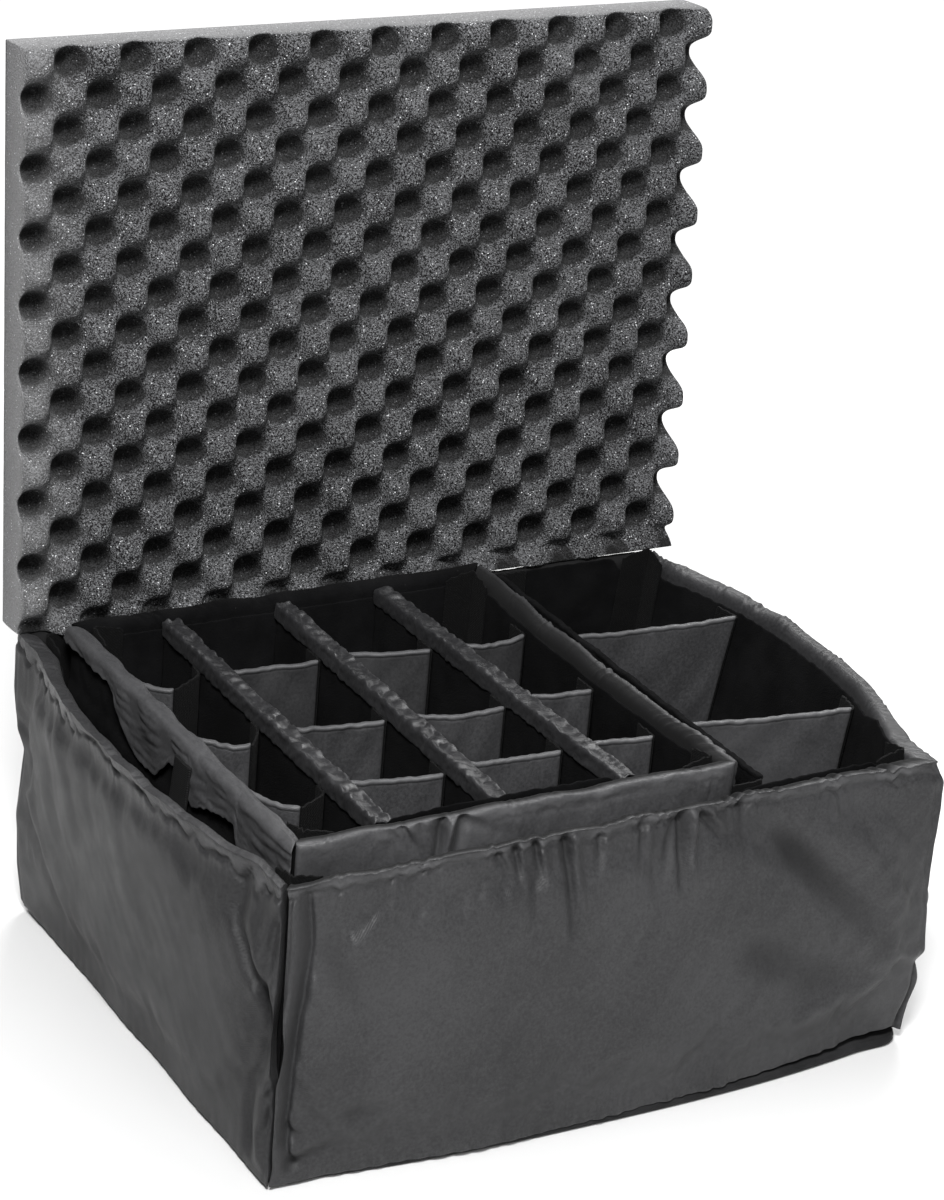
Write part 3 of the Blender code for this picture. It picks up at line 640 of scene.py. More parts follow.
# Folds of the box's walls, places along the wall (x or y) and up it, as the photograph has them
FOLDS = {
    "front": [
        Crease(-0.047, 0.228, -0.041, 0.16, 0.0034, 0.0075, 0.6),
        Crease(0.052, 0.23, 0.047, 0.18, 0.0032, 0.0106, 0.7),
        Crease(0.044, 0.226, 0.034, 0.19, 0.0039, 0.0037, 0.5),
        Crease(0.07, 0.228, 0.082, 0.212, 0.0026, 0.0070, 0.6),
        Crease(-0.088, 0.23, -0.084, 0.206, 0.0024, 0.0063, 0.6),
        Crease(-0.071, 0.23, -0.067, 0.208, 0.0024, 0.0065, 0.6),
        Crease(-0.102, 0.228, -0.094, 0.213, 0.0024, 0.0045, 0.6),
        Crease(-0.073, 0.2, -0.072, 0.165, 0.0051, 0.0032, 0.4),
        Crease(-0.018, 0.228, -0.021, 0.205, 0.0029, 0.0040, 0.5),
        Crease(0.018, 0.23, 0.012, 0.192, 0.0037, 0.0037, 0.5),
        Crease(0.105, 0.23, 0.098, 0.19, 0.0048, 0.0032, 0.5),
        Crease(0.15, 0.186, 0.222, 0.108, 0.0150, 0.0078, 0.7),
        Crease(0.12, 0.11, 0.2, 0.07, 0.0180, 0.0040, 0.4),
        Crease(0.1625, 0.053, 0.27, 0.074, 0.0100, -0.0036, 0.4),
        Crease(-0.25, 0.02, -0.222, 0.026, 0.0052, 0.0046, 0.7),
        Crease(-0.257, 0.046, -0.24, 0.034, 0.0036, 0.0036, 0.6),
        Crease(-0.205, 0.052, -0.17, 0.056, 0.0090, 0.0034, 0.4),
        Crease(-0.225, 0.175, -0.2, 0.13, 0.0130, 0.0034, 0.5),
    ],
    "left": [
        Crease(-0.209, 0.225, -0.188, 0.177, 0.0060, -0.0018, 0.5),
        Crease(-0.188, 0.177, -0.223, 0.161, 0.0060, -0.0016, 0.5),
        Crease(0.182, 0.160, 0.152, 0.077, 0.0110, 0.0018, 0.7),
        Crease(0.122, 0.165, 0.115, 0.090, 0.0110, 0.0016, 0.6),
        Crease(0.078, 0.200, 0.072, 0.130, 0.0090, 0.0014, 0.6),
        Crease(0.043, 0.215, 0.038, 0.160, 0.0080, 0.0014, 0.6),
        Crease(-0.019, 0.205, -0.030, 0.140, 0.0090, 0.0016, 0.6),
        Crease(-0.041, 0.160, -0.048, 0.110, 0.0110, 0.0012, 0.5),
        Crease(-0.214, 0.112, -0.196, 0.104, 0.0040, 0.0016, 0.5),
        Crease(-0.226, 0.096, -0.205, 0.085, 0.0040, 0.0016, 0.5),
        Crease(0.209, 0.168, 0.206, 0.150, 0.0100, -0.0021, 0.0),
        Crease(0.203, 0.085, 0.203, 0.070, 0.0140, -0.0021, 0.0),
        Crease(0.205, 0.166, 0.180, 0.158, 0.0040, 0.0018, 0.4),
        Crease(-0.212, 0.086, -0.196, 0.082, 0.0030, 0.0030, 0.7),
        Crease(-0.213, 0.078, -0.200, 0.066, 0.0030, 0.0028, 0.6),
        Crease(-0.213, 0.060, -0.203, 0.035, 0.0040, 0.0028, 0.5),
        Crease(-0.206, 0.200, -0.200, 0.150, 0.0055, 0.0040, 0.6),
        Crease(-0.200, 0.150, -0.208, 0.120, 0.0050, 0.0036, 0.6),
    ],
    "right": [
        Crease(-0.192, 0.205, -0.190, 0.195, 0.0140, -0.0050, 0.0),
        Crease(-0.205, 0.120, -0.200, 0.088, 0.0120, -0.0045, 0.0),
        Crease(-0.212, 0.056, -0.208, 0.034, 0.0110, -0.0042, 0.0),
        Crease(-0.150, 0.190, -0.120, 0.120, 0.0120, 0.0030, 0.6),
        Crease(0.020, 0.200, 0.030, 0.110, 0.0120, 0.0030, 0.6),
        Crease(0.120, 0.190, 0.110, 0.090, 0.0120, 0.0030, 0.6),
    ],
    "back": [
        Crease(-0.120, 0.200, -0.110, 0.110, 0.0120, 0.0026, 0.6),
        Crease(0.060, 0.190, 0.075, 0.100, 0.0120, 0.0026, 0.6),
        Crease(0.180, 0.200, 0.160, 0.120, 0.0110, 0.0026, 0.6),
    ],
}

# Sections of a wall: its roundings, the thickness of the cloth lip below it, and mesh spacing
RIM_ROUNDING = 0.0060
RIM_EDGE = 0.0022
FOOT_ROUNDING = 0.0012
LIP = 0.0022
WALL_STEP = 0.0025

# How far the front wall's foot is lifted at its right end, and the pitch of the seam's zigzag
FRONT_LIFT = 0.0088
CREASE_PITCH = 0.042

# How far the cloth stands out at two corners of the box, at heights, and how far along the walls
CORNER_BULGES = {
    "front_right": [
        (0.000, 0.0005), (0.020, 0.0010), (0.050, 0.0045), (0.066, 0.0040), (0.072, 0.0030), (0.080, 0.0080),
        (0.100, 0.0075), (0.130, 0.0065), (0.170, 0.0085), (0.200, 0.0105), (0.222, 0.0110), (0.236, 0.0060),
    ],
    "back_left": [
        (0.000, 0.0005), (0.010, 0.0045), (0.040, 0.0070), (0.084, 0.0070), (0.120, 0.0045), (0.140, 0.0025),
        (0.160, 0.0055), (0.190, 0.0080), (0.225, 0.0065), (0.236, 0.0045),
    ],
}
BULGE_REACH = 0.090

# How far the front wall's right end is drawn in near its foot, at heights
NOTCH = [(0.008, 0.0105), (0.025, 0.0100), (0.045, 0.0070), (0.062, 0.0050), (0.070, 0.0042), (0.076, 0.0)]

# The open mitre at the front left: how far it gapes, where it ends and where it is widest
SLIT = 0.0070
SLIT_FOOT = 0.083
SLIT_MIDDLE = 0.114

# The valley beside it: heights and how far from the mitre, and its width. Between the two the
# cloth rolls over, by how much and with what radius it turns into the mitre.
VALLEYS = {
    "front": (
        [
            (0.010, 0.016), (0.045, 0.009), (0.091, 0.011), (0.122, 0.014), (0.150, 0.018), (0.190, 0.021),
            (0.225, 0.018),
        ],
        0.0046,
    ),
    "left": (
        [
            (0.010, 0.030), (0.040, 0.034), (0.071, 0.030), (0.095, 0.014), (0.125, 0.011), (0.145, 0.016),
            (0.165, 0.034), (0.190, 0.050), (0.225, 0.046),
        ],
        0.0074,
    ),
}
ROLL = 0.0052
TURN = 0.0100

# Each wall's seam below the rolled rim (how deep, how far down, how uneven), the puckers that
# hang from it, slow waves, how far its ends tuck in, how far it hangs over the base panel, its
# small crumples, and how far its rim rises in the middle
Style = namedtuple(
    "Style", "seam drop uneven pucker waves tuck tuck_reach lip_start lip_end hem gather fine raised", defaults=[0.0],
)
OUTER_STYLES = {
    "front": Style(0.0020, 0.0080, 0.0011, 0.0015, 0.0006, 0.0040, 0.012, 0.0052, 0.0004, 0.0024, 0.0012, 0.00018),
    "right": Style(0.0013, 0.0095, 0.0020, 0.0011, 0.0007, 0.0050, 0.016, 0.0004, 0.0030, 0.0016, 0.0006, 0.00018),
    "back": Style(0.0013, 0.0095, 0.0016, 0.0010, 0.0006, 0.0050, 0.016, 0.0030, 0.0050, 0.0014, 0.0006, 0.00018),
    "left": Style(
        0.0030, 0.0120, 0.0038, 0.0012, 0.0006, 0.0040, 0.012, 0.0055, 0.0055, 0.0014, 0.0002, 0.00008, 0.0065,
    ),
}
TRAY_STYLES = {
    "front": Style(0.0003, 0.0090, 0.0010, 0.0006, 0.0006, 0.0040, 0.010, 0.0, 0.0, 0.0010, 0.0006, 0.00018),
    "right": Style(0.0007, 0.0120, 0.0020, 0.0006, 0.0006, 0.0040, 0.010, 0.0, 0.0, 0.0020, 0.0006, 0.00018),
    "back": Style(0.0006, 0.0100, 0.0012, 0.0006, 0.0005, 0.0040, 0.010, 0.0, 0.0, 0.0010, 0.0006, 0.00018),
    "left": Style(0.0, 0.0120, 0.0020, 0.0, 0.0004, 0.0050, 0.012, 0.0, 0.0, 0.0000, 0.0003, 0.00018),
}
TRAY_FOLDS = {
    "front": [
        Crease(-0.1380, 0.2520, -0.1440, 0.2060, 0.0032, 0.0090, 0.7),
        Crease(-0.1245, 0.2480, -0.1280, 0.2180, 0.0052, 0.0055, 0.0),
        Crease(-0.1440, 0.2480, -0.1480, 0.2200, 0.0050, 0.0030, 0.4),
        Crease(-0.1700, 0.2510, -0.1590, 0.2340, 0.0024, 0.0042, 0.7),
        Crease(-0.1780, 0.2480, -0.1700, 0.2400, 0.0026, 0.0026, 0.6),
        Crease(-0.1560, 0.2490, -0.1510, 0.2300, 0.0030, 0.0026, 0.6),
        Crease(-0.1180, 0.2470, -0.1000, 0.2370, 0.0040, 0.0024, 0.6),
        Crease(-0.2300, 0.2250, -0.1800, 0.2200, 0.0100, 0.0014, 0.4),
        Crease(-0.0600, 0.2440, 0.0800, 0.2470, 0.0030, 0.0009, 0.4),
    ],
    "right": [
        Crease(-0.0290, 0.2520, -0.0300, 0.2380, 0.0034, 0.0044, 0.6),
        Crease(0.0400, 0.2520, 0.0420, 0.2400, 0.0040, 0.0020, 0.5),
        Crease(-0.1100, 0.2520, -0.1140, 0.2400, 0.0034, 0.0026, 0.5),
    ],
}

# The cloth simulation of the outer walls: spacing, growth, pressure, frames and cap on its moves
CLOTH_CELL = 0.0065
CLOTH_GROWTH = 0.030
CLOTH_PRESSURE = 4.0
CLOTH_FRAMES = 20
CLOTH_CAP = 0.0035


def blown_sheets(sheets):
    """Blow slack cloth sheets up while their seams hold them, and return each sheet's outward
    move. Each sheet is a grid of points (stations, rows, 3) with its borders sewn down."""
    studio = bpy.data.scenes.new("cloth")
    made = {}
    for name, grid in sheets.items():
        stations, rows = grid.shape[:2]
        index = np.arange(stations * rows).reshape(stations, rows)
        faces = np.stack([index[:-1, :-1], index[1:, :-1], index[1:, 1:], index[:-1, 1:]], axis=2).reshape(-1, 4)
        mesh = bpy.data.meshes.new(f"cloth_{name}")
        mesh.from_pydata(grid.reshape(-1, 3).tolist(), [], faces.tolist())
        sheet = bpy.data.objects.new(f"cloth_{name}", mesh)
        studio.collection.objects.link(sheet)
        sewn = np.ones((stations, rows), dtype=bool)
        sewn[1:-1, 1:-1] = False
        sheet.vertex_groups.new(name="sewn").add(index[sewn].tolist(), 1.0, "REPLACE")
        cloth = sheet.modifiers.new("cloth", "CLOTH")
        cloth.settings.quality = 6
        cloth.settings.mass = 0.15
        cloth.settings.tension_stiffness = cloth.settings.compression_stiffness = 12.0
        cloth.settings.shear_stiffness = 4.0
        cloth.settings.bending_stiffness = 0.08
        cloth.settings.air_damping = 2.0
        cloth.settings.vertex_group_mass = "sewn"
        cloth.settings.shrink_min = -CLOTH_GROWTH
        cloth.settings.use_pressure = True
        cloth.settings.uniform_pressure_force = CLOTH_PRESSURE
        cloth.settings.effector_weights.gravity = 0.0
        cloth.collision_settings.use_collision = False
        cloth.point_cache.frame_end = CLOTH_FRAMES
        made[name] = sheet
    for frame in range(1, CLOTH_FRAMES + 1):
        studio.frame_set(frame)
    graph = studio.view_layers[0].depsgraph
    moves = {}
    for name, sheet in made.items():
        blown = np.empty(3 * len(sheet.data.vertices))
        sheet.evaluated_get(graph).data.vertices.foreach_get("co", blown)
        moves[name] = blown.reshape(sheets[name].shape) - sheets[name]
    for sheet in made.values():
        mesh = sheet.data
        bpy.data.objects.remove(sheet)
        bpy.data.meshes.remove(mesh)
    bpy.data.scenes.remove(studio)
    return moves


def cloth_pushes(box):
    """How far the cloth of each outer wall stands out once it is blown up over its padding:
    shares, heights and pushes on a coarse grid."""
    sheets, places = {}, {}
    for number, side in enumerate(SIDES):
        length = side_length(box, side)
        shares = np.linspace(0.004 / length, 1 - 0.004 / length, round(length / CLOTH_CELL))
        low, high = box.z_low + 0.004, box.z_high - RIM_ROUNDING
        heights = np.linspace(low, high, round((high - low) / CLOTH_CELL))
        share, up = np.meshgrid(shares, heights, indexing="ij")
        start = 0.0006 * Ripples(900 + number, 0.040, 0.060)(share * length, up)
        x, y = side_place(box, side, share, up, -start)
        sheets[side] = np.stack([x, y, up], axis=2)
        places[side] = (shares, heights)
    moves = blown_sheets(sheets)
    return {side: (*places[side], moves[side] @ np.array([*SIDES[side][2], 0.0])) for side in SIDES}


def between_cells(shares, heights, values, share, up):
    """Values of a coarse grid at finer places, by two linear blends."""
    column = np.clip(np.interp(share, shares, np.arange(len(shares))), 0, len(shares) - 1.001)
    row = np.clip(np.interp(up, heights, np.arange(len(heights))), 0, len(heights) - 1.001)
    i, j = column.astype(int), row.astype(int)
    a, b = column - i, row - j
    inside = (up >= heights[0]) & (up <= heights[-1])
    low = blend(values[i, j], values[i, j + 1], b)
    high = blend(values[i + 1, j], values[i + 1, j + 1], b)
    return blend(low, high, a) * inside


def lift_foot(side, share):
    """How far the foot of a wall is lifted off the base panel, most at the front right corner."""
    if side == "front":
        return FRONT_LIFT * share ** 3.2
    return 0.2 * FRONT_LIFT * (1 - share) ** 12 if side == "right" else 0.0 * share


def wall_rows(box, lip):
    """Heights up a wall and insets of its outer and inner face. A lip of cloth hangs below the
    padding over the base panel."""
    heights, insets = edge_rows(box.z_low + 0.0004, box.z_high, FOOT_ROUNDING, RIM_ROUNDING, STEP, 0.034)
    inner = WALL_THICKNESS - insets
    from_top = box.z_high - heights
    rounded = RIM_EDGE - np.sqrt(np.maximum(RIM_EDGE ** 2 - np.maximum(RIM_EDGE - from_top, 0.0) ** 2, 0.0))
    insets = np.where(heights > box.z_high / 2 + box.z_low / 2, rounded, insets)
    if lip:
        drops = np.array([1.0, 0.9, 0.5, 0.06])
        heights = np.concatenate([box.z_low - lip * drops, heights])
        insets = np.concatenate([[0.0006, 0.0, 0.0, 0.0], insets * (heights[4:] > box.z_high / 2)])
        inner = np.concatenate([[LIP - 0.0006, LIP, LIP, LIP], inner])
    return heights, insets, inner


def corner_bulge(bulges, side, along, length, z):
    """How far the cloth of a side is pushed out, in plan, where a corner of the box bulges."""
    moves = np.zeros((2, *z.shape))
    for corner, table in bulges.items():
        before, after = CORNERS[corner]
        if side not in (before, after):
            continue
        distance = along if side == after else length - along
        amount = np.interp(z, *zip(*table)) * smooth_step(1 - distance / BULGE_REACH)
        for axis, sign in enumerate(SIDES[after][0]):
            moves[axis] += sign * amount
    return moves


def rolled_corner(box, side, corner, up):
    """What the cloth does beside the open mitre, at distances from it and heights: its push, from
    the valley, the roll beside it and the turn into the mitre, and how deep the valley is."""
    rolled = smooth_step((up - box.z_low) / 0.012) * smooth_step((box.z_high - up) / 0.018)
    valley, width = VALLEYS[side]
    aside = corner - np.interp(up, *zip(*valley))
    sunk = ROLL * rolled * np.exp(-(aside / width) ** 2)
    risen = 0.75 * ROLL * rolled * np.exp(-((aside + 1.7 * width) / (1.2 * width)) ** 2)
    turned = np.maximum(TURN - corner, 0.0)
    turn = rolled * (TURN - np.sqrt(np.maximum(TURN ** 2 - turned ** 2, 0.0))) * 0.75
    return risen - sunk - turn, sunk


def end_room(side, share, up, margin, slit):
    """How far a wall's ends keep from the middle of the mitres, where one of them gapes and the
    front wall is drawn in near its foot."""
    room = np.full(share.shape, margin)
    if not slit:
        return room
    gapes = share < 0.5 if side == "front" else share >= 0.5
    lens = 0.30 + 0.70 * np.exp(-((up - SLIT_MIDDLE) / 0.024) ** 2)
    room = room + slit * smooth_step((up - SLIT_FOOT) / 0.008) * lens * gapes
    if side == "front":
        room = room + (share > 0.5) * np.interp(up, *zip(*NOTCH))
    return room


def wall_grids(box, side, seed, folds, style, margin=0.0006, slit=0.0, cloth=None, bulges=None):
    """Outer and inner face of a padded wall: crown, folds, the seam under the rolled rim, the
    puckers that hang from it, and ends tucked into the mitre."""
    length = side_length(box, side)
    shares = run_shares(length, WALL_STEP)
    lip = max(style.lip_start, style.lip_end)
    heights, insets, inner = wall_rows(box, lip)
    share, up = np.meshgrid(shares, heights, indexing="ij")
    along = share * length
    if lip:
        hang = blend(style.lip_start, style.lip_end, share) / lip
        up = np.where(up < box.z_low, box.z_low - (box.z_low - up) * hang, up)
    tall = box.z_high - box.z_low
    height = np.clip((up - box.z_low) / tall, 0.0, 1.0)
    free = 1 - np.clip(insets / RIM_EDGE, 0.0, 1.0) * (heights > box.z_low + 0.02)

    broad = Ripples(seed, 0.150, 0.260)
    gather = Ripples(seed + 2, 0.017, 0.220, 16)
    wobble = Ripples(seed + 3, 0.070, 1.0, 8)
    zigzag = Ripples(seed + 6, CREASE_PITCH, 1.0, 8)
    foot_gather = Ripples(seed + 4, 0.030, 0.300, 12)
    crumple = Ripples(seed + 5, 0.014, 0.009, 18)
    crinkle = Ripples(seed + 9, 0.0135, 0.040, 14)
    hem = Ripples(seed + 10, 0.0095, 1.0, 12)
    patches = Ripples(seed + 8, 0.060, 1.0, 6)
    tight = Ripples(seed + 13, 0.026, 0.034, 20)

    place = run_place(box, side, share)
    from_rim = box.z_high - up
    line = style.drop + style.uneven * (zigzag.creases(along) * 1.4 + 0.25 * wobble(along))
    busy = np.clip(0.55 + 0.55 * patches(along), 0.1, 1.3)
    push = WALL_CROWN * 16 * share * (1 - share) * height * (1 - height)
    push = push + style.waves * broad(along, up)
    if cloth:
        blown = between_cells(*cloth[side], share, up)
        push = push + CLOTH_CAP * np.tanh((blown - blown.mean()) / CLOTH_CAP)
    seam = style.seam * (0.6 + 0.5 * busy) * np.exp(-((from_rim - line) / 0.0017) ** 2)
    push = push - seam
    below = np.maximum(from_rim - line, 0.0)
    hanging = gather.creases(along, up) * busy
    push = push + style.pucker * hanging * np.exp(-below / 0.013) * np.minimum(below / 0.003, 1)
    near_seam = np.exp(-((from_rim - 0.6 * line) / 0.006) ** 2)
    push = push + 0.45 * style.pucker * crumple.creases(along, up) * busy * near_seam
    slanted = along - 1.1 * from_rim
    pleats = crinkle.creases(slanted, from_rim) * busy
    push = push + style.hem * pleats * np.exp(-(from_rim / 0.0065) ** 2)
    from_foot = np.maximum(up - box.z_low, 0.0)
    push = push + style.gather * (foot_gather.creases(along, up) + 0.3) * np.exp(-from_foot / 0.014)
    folded = crease_depth(folds, place, up)
    push = push + folded + style.fine * tight(along, up)
    ends = np.minimum(along, length - along)
    push = push * np.clip(ends / 0.006, 0.15, 1.0)
    push = push - style.tuck * np.clip(1 - ends / style.tuck_reach, 0.0, 1.0) ** 2
    if slit:
        roll, sunk = rolled_corner(box, side, along if side == "front" else length - along, up)
        # The valley beside the mitre adds to the painted shade
        folded = folded - 0.7 * sunk
        push = push + roll
    push = push * free[None, :]

    room = end_room(side, share, up, margin, slit)
    edge_share = np.clip(share, room / length, 1 - room / length)
    rise = 0.0007 * wobble(along + 0.3) + 0.35 * style.hem * hem(along) * busy
    rise = rise * np.clip((up - box.z_high + 0.03) / 0.03, 0.0, 1.0)
    rise = rise + style.raised * bow_profile(share) * smooth_step((up - box.z_high + 0.09) / 0.09)
    if lip:
        rise = rise + lift_foot(side, share) * np.clip(1 - from_foot / 0.045, 0.0, 1.0) ** 2
    behind = np.where(up < box.z_low, inner[None, :] - push, inner[None, :])
    grids = []
    moves = corner_bulge(bulges or {}, side, along, length, up)
    for inset, reach in ((insets[None, :] - push, 1.0), (behind, 0.0)):
        x, y = side_place(box, side, edge_share, up, inset)
        grids.append(np.stack([x + reach * moves[0], y + reach * moves[1], up + rise], axis=2))
    # Painted shade in the seam under the rim and in the valleys of the creases and of the mitre's roll, up to 70 %; a
    # painted highlight along the rim's fold
    on_fold = np.exp(-((from_rim - 0.42 * line) / (0.0008 + 0.30 * line)) ** 2)
    painted_light = 0.75 * np.clip(busy + 0.1, 0.2, 1.0) * on_fold
    return (*grids, np.clip((1.6 * seam - folded - 0.0008) / 0.0080, 0.0, 0.70), painted_light)


# Walls whose rim is faced with the lining behind a slender nylon edge
LINED = ["outer_front", "outer_back", "tray_front", "tray_right"]


# How far a lining's cut edge stands above its usual height, at places along the wall
PROUD = {
    "tray_front": [
        (-0.190, 0.0), (-0.180, 0.0095), (-0.140, 0.0112), (-0.060, 0.0116), (0.008, 0.0108), (0.016, 0.004),
        (0.05, 0.0),
    ],
    "outer_front": [(0.090, 0.0), (0.110, 0.0098), (0.150, 0.0110), (0.215, 0.0112), (0.240, 0.0104)],
    "outer_right": [(-0.200, 0.0100), (-0.150, 0.0104), (-0.120, 0.0)],
    "outer_back": [(0.030, 0.0), (0.050, 0.0112), (0.240, 0.0112)],
}


def lining_grids(box, side, seed, proud):
    """The loop lining of a wall, with slow soft folds and an uneven cut top."""
    length = side_length(box, side)
    shares = run_shares(length, 0.005, 0.018, 0.003)
    heights, insets = edge_rows(
        box.z_low, box.z_high - LINING_DROP, LINING_THICKNESS / 3, LINING_THICKNESS / 3, 0.008, 0.016, 0.004, turns=2,
    )
    share, up = np.meshgrid(shares, heights, indexing="ij")
    along = share * length
    soft = Ripples(seed, 0.070, 0.090)
    fray = Ripples(seed + 1, 0.012, 1.0, 10)
    push = 0.00035 * soft(along, up)
    near = np.clip(share, 0.0012 / length, 1 - 0.0012 / length)
    place = run_place(box, side, share)
    rise = 0.0004 * fray(along)
    if proud:
        rise = rise + np.interp(place, *zip(*proud), left=0.0, right=0.0) + 0.0003 * fray(along)
    rise = rise * np.clip((up - box.z_high + LINING_DROP + 0.020) / 0.020, 0.0, 1.0) ** 1.5
    grids = []
    for inset in (WALL_THICKNESS + GAP + insets[None, :], WALL_BUILD - insets[None, :]):
        x, y = side_place(box, side, near, up, inset + np.minimum(push, 0.0003))
        grids.append(np.stack([x, y, up + rise], axis=2))
    return grids


def add_walls(prefix, box, body, seed, folds, styles, simulate=False):
    cloth = cloth_pushes(box) if simulate else None
    for number, side in enumerate(SIDES):
        slit = SLIT if prefix == "outer" and side in ("front", "left") else 0.0
        base = seed + 10 * number
        outer, inner, shade, painted_light = wall_grids(
            box, side, base, folds.get(side, []), styles[side], slit=slit, cloth=cloth,
            bulges=CORNER_BULGES if prefix == "outer" else None,
        )
        name = f"{prefix}_{side}_wall"
        bare = name in ("tray_left_wall", "tray_back_wall")
        if name == "tray_left_wall":
            near = np.clip((outer[:, :, 2] - TRAY_RIM + 0.050) / 0.008, 0.0, 1.0) * WRAP_UNDER
            outer[:, :, 0] += near
            inner[:, :, 0] -= near * (inner[:, :, 2] > TRAY_RIM - LINING_DROP)
            for grid in (outer, inner):
                grid[:, :, 2] -= np.clip((grid[:, :, 2] - TRAY_RIM + 0.020) / 0.020, 0.0, 1.0) * WRAP_UNDER
        lining_and_shade = 1.0 if f"{prefix}_{side}" in LINED else 0.0
        # Painted shade: the left wall is darkened below its rim, where it takes more light than the front
        if name == "outer_left_wall":
            shade = np.maximum(shade, 0.28 * smooth_step((box.z_high - 0.010 - outer[:, :, 2]) / 0.012))
        # Painted shade: the back wall's outer face is darkened to near-black over its top, where the back light would
        # catch it, and gets no painted highlight
        if name == "outer_back_wall":
            shade = np.maximum(shade, smooth_step((outer[:, :, 2] - box.z_high + 0.012) / 0.003))
            painted_light = 0.0
        # Painted light: the tray's front wall is made paler all over, less where it has painted shade, and takes the
        # paler copy of the nylon
        if name == "tray_front_wall":
            painted_light = np.maximum(painted_light, 0.27 * (1 - shade))
        cloth_look = "nylon_panel" if name == "tray_front_wall" else "nylon"
        add_slab(
            f"soft_{name}", outer, inner, "loop_lining" if bare else cloth_look, body,
            "loop_lining" if bare else "nylon", nodes=[name], fill=0.7,
            marks={"lining_and_shade": (shade, lining_and_shade), "wear_and_painted_light": (painted_light, 0.0)},
        )
        outer, inner = lining_grids(box, side, base + 7, PROUD.get(f"{prefix}_{side}"))
        name = f"{prefix}_{side}_lining"
        add_slab(f"soft_{name}", outer, inner, "loop_lining", body, "loop_lining", nodes=[name], fill=0.2)


# Where the tray's left wall is wrapped in nylon: how far down its outer side, along y
SCALLOPS = [
    (-0.190, 0.038), (-0.160, 0.038), (-0.125, 0.036), (-0.113, 0.030), (-0.107, 0.0165), (-0.088, 0.0190),
    (-0.061, 0.0266), (-0.045, 0.034), (-0.038, 0.030), (-0.034, 0.0185), (-0.020, 0.0175), (-0.004, 0.0190),
    (0.006, 0.029), (0.014, 0.038), (0.050, 0.040), (0.066, 0.031), (0.086, 0.0205), (0.096, 0.010),
    (0.106, 0.0065), (0.150, 0.0062), (0.190, 0.0070),
]
# The wrap's thickness, how far it turns down inside the rim, and how far the wall gives way to it
WRAP_SKIN = 0.0011
WRAP_INSIDE = 0.0030
WRAP_UNDER = 0.0022


def add_tray_wrap():
    """The nylon sewn over the tray's left rim, its lower edge scalloped where it was gathered."""
    length = side_length(TRAY, "left")
    shares = run_shares(length, 0.003, 0.016, 0.002)
    rows = 46
    share, row = np.meshgrid(shares, np.linspace(0.0, 1.0, rows), indexing="ij")
    along = share * length
    y_place = blend(TRAY_HALF_Y, -TRAY_HALF_Y, share)
    down = np.interp(y_place, *zip(*SCALLOPS))
    down = down + 0.0008 * Ripples(231, 0.009, 1.0, 10)(along)
    turn = RIM_ROUNDING
    arc = turn * math.pi / 2
    flat = WALL_THICKNESS - 2 * turn
    total = down + 2 * arc + flat + WRAP_INSIDE
    travel = row * total
    outer_run = np.clip(travel, 0.0, down)
    first = np.clip(travel - down, 0.0, arc) / turn
    level = np.clip(travel - down - arc, 0.0, flat)
    second = np.clip(travel - down - arc - flat, 0.0, arc) / turn
    inside = np.clip(travel - down - 2 * arc - flat, 0.0, WRAP_INSIDE)
    z = TRAY_RIM - turn - (down - outer_run) + turn * np.sin(first) - turn * (1 - np.cos(second)) - inside
    inset = turn * (1 - np.cos(first)) + level + turn * np.sin(second)
    out_normal = np.cos(first) - np.sin(second)
    up_normal = np.where(second > 0, np.cos(second), np.sin(first))
    blotch = Ripples(232, 0.050, 0.016, 20)
    pleat = Ripples(233, 0.110, 0.014, 14)
    slow = Ripples(234, 0.060, 0.060, 10)
    lengthwise = z - inset
    push = 0.0004 * blotch.creases(along, lengthwise) + 0.0005 * pleat.creases(along, lengthwise)
    push = push + 0.0005 * slow(along, lengthwise)
    push = push + 0.0010 * np.exp(-(outer_run / 0.004) ** 2)
    push = np.clip(push, -0.0007, 0.0014)
    ends = np.minimum(along, length - along)
    push = push - 0.0010 * np.clip(1 - ends / 0.012, 0.0, 1.0) ** 2
    edge_share = np.clip(share, 0.0008 / length, 1 - 0.0008 / length)
    height = np.clip((z - TRAY.z_low) / (TRAY.z_high - TRAY.z_low), 0, 1)
    crown = WALL_CROWN * 16 * share * (1 - share) * height * (1 - height) * (out_normal > 0)
    grids = []
    for depth in (0.0, WRAP_SKIN):
        inward = inset - crown - out_normal * (push + 0.0007 - depth)
        level_z = z + up_normal * (push - depth)
        x, y = side_place(TRAY, "left", edge_share, level_z, np.minimum(inward, WALL_THICKNESS + 0.0002))
        grids.append(np.stack([x, y, level_z], axis=2))
    # Painted highlights along the rim's turns and its lower edge, and painted light over the whole wrap
    painted_light = 0.45 * np.exp(-((first - 1.0) / 0.4) ** 2) * (second <= 0)
    painted_light = painted_light + 0.30 * np.exp(-((second - 0.5) / 0.4) ** 2) * (second > 0)
    painted_light = painted_light + 0.25 * np.exp(-(outer_run / 0.0025) ** 2) * (outer_run < down)
    painted_light = np.maximum(painted_light, 0.22)
    add_slab(
        "soft_tray_left_wall_wrap", *grids, "nylon_panel", "tray", "nylon", nodes=["tray_left_wall"], fill=0.3,
        marks={"wear_and_painted_light": (painted_light, 0.0)},
    )


# How far a corner tape's top falls from its fold to its ends, and how far some stand proud
TAPE_FALL = 0.0055
TAPE_PROUD = {"front_right": 0.0040, "back_right": 0.0060, "back_left": 0.0020}


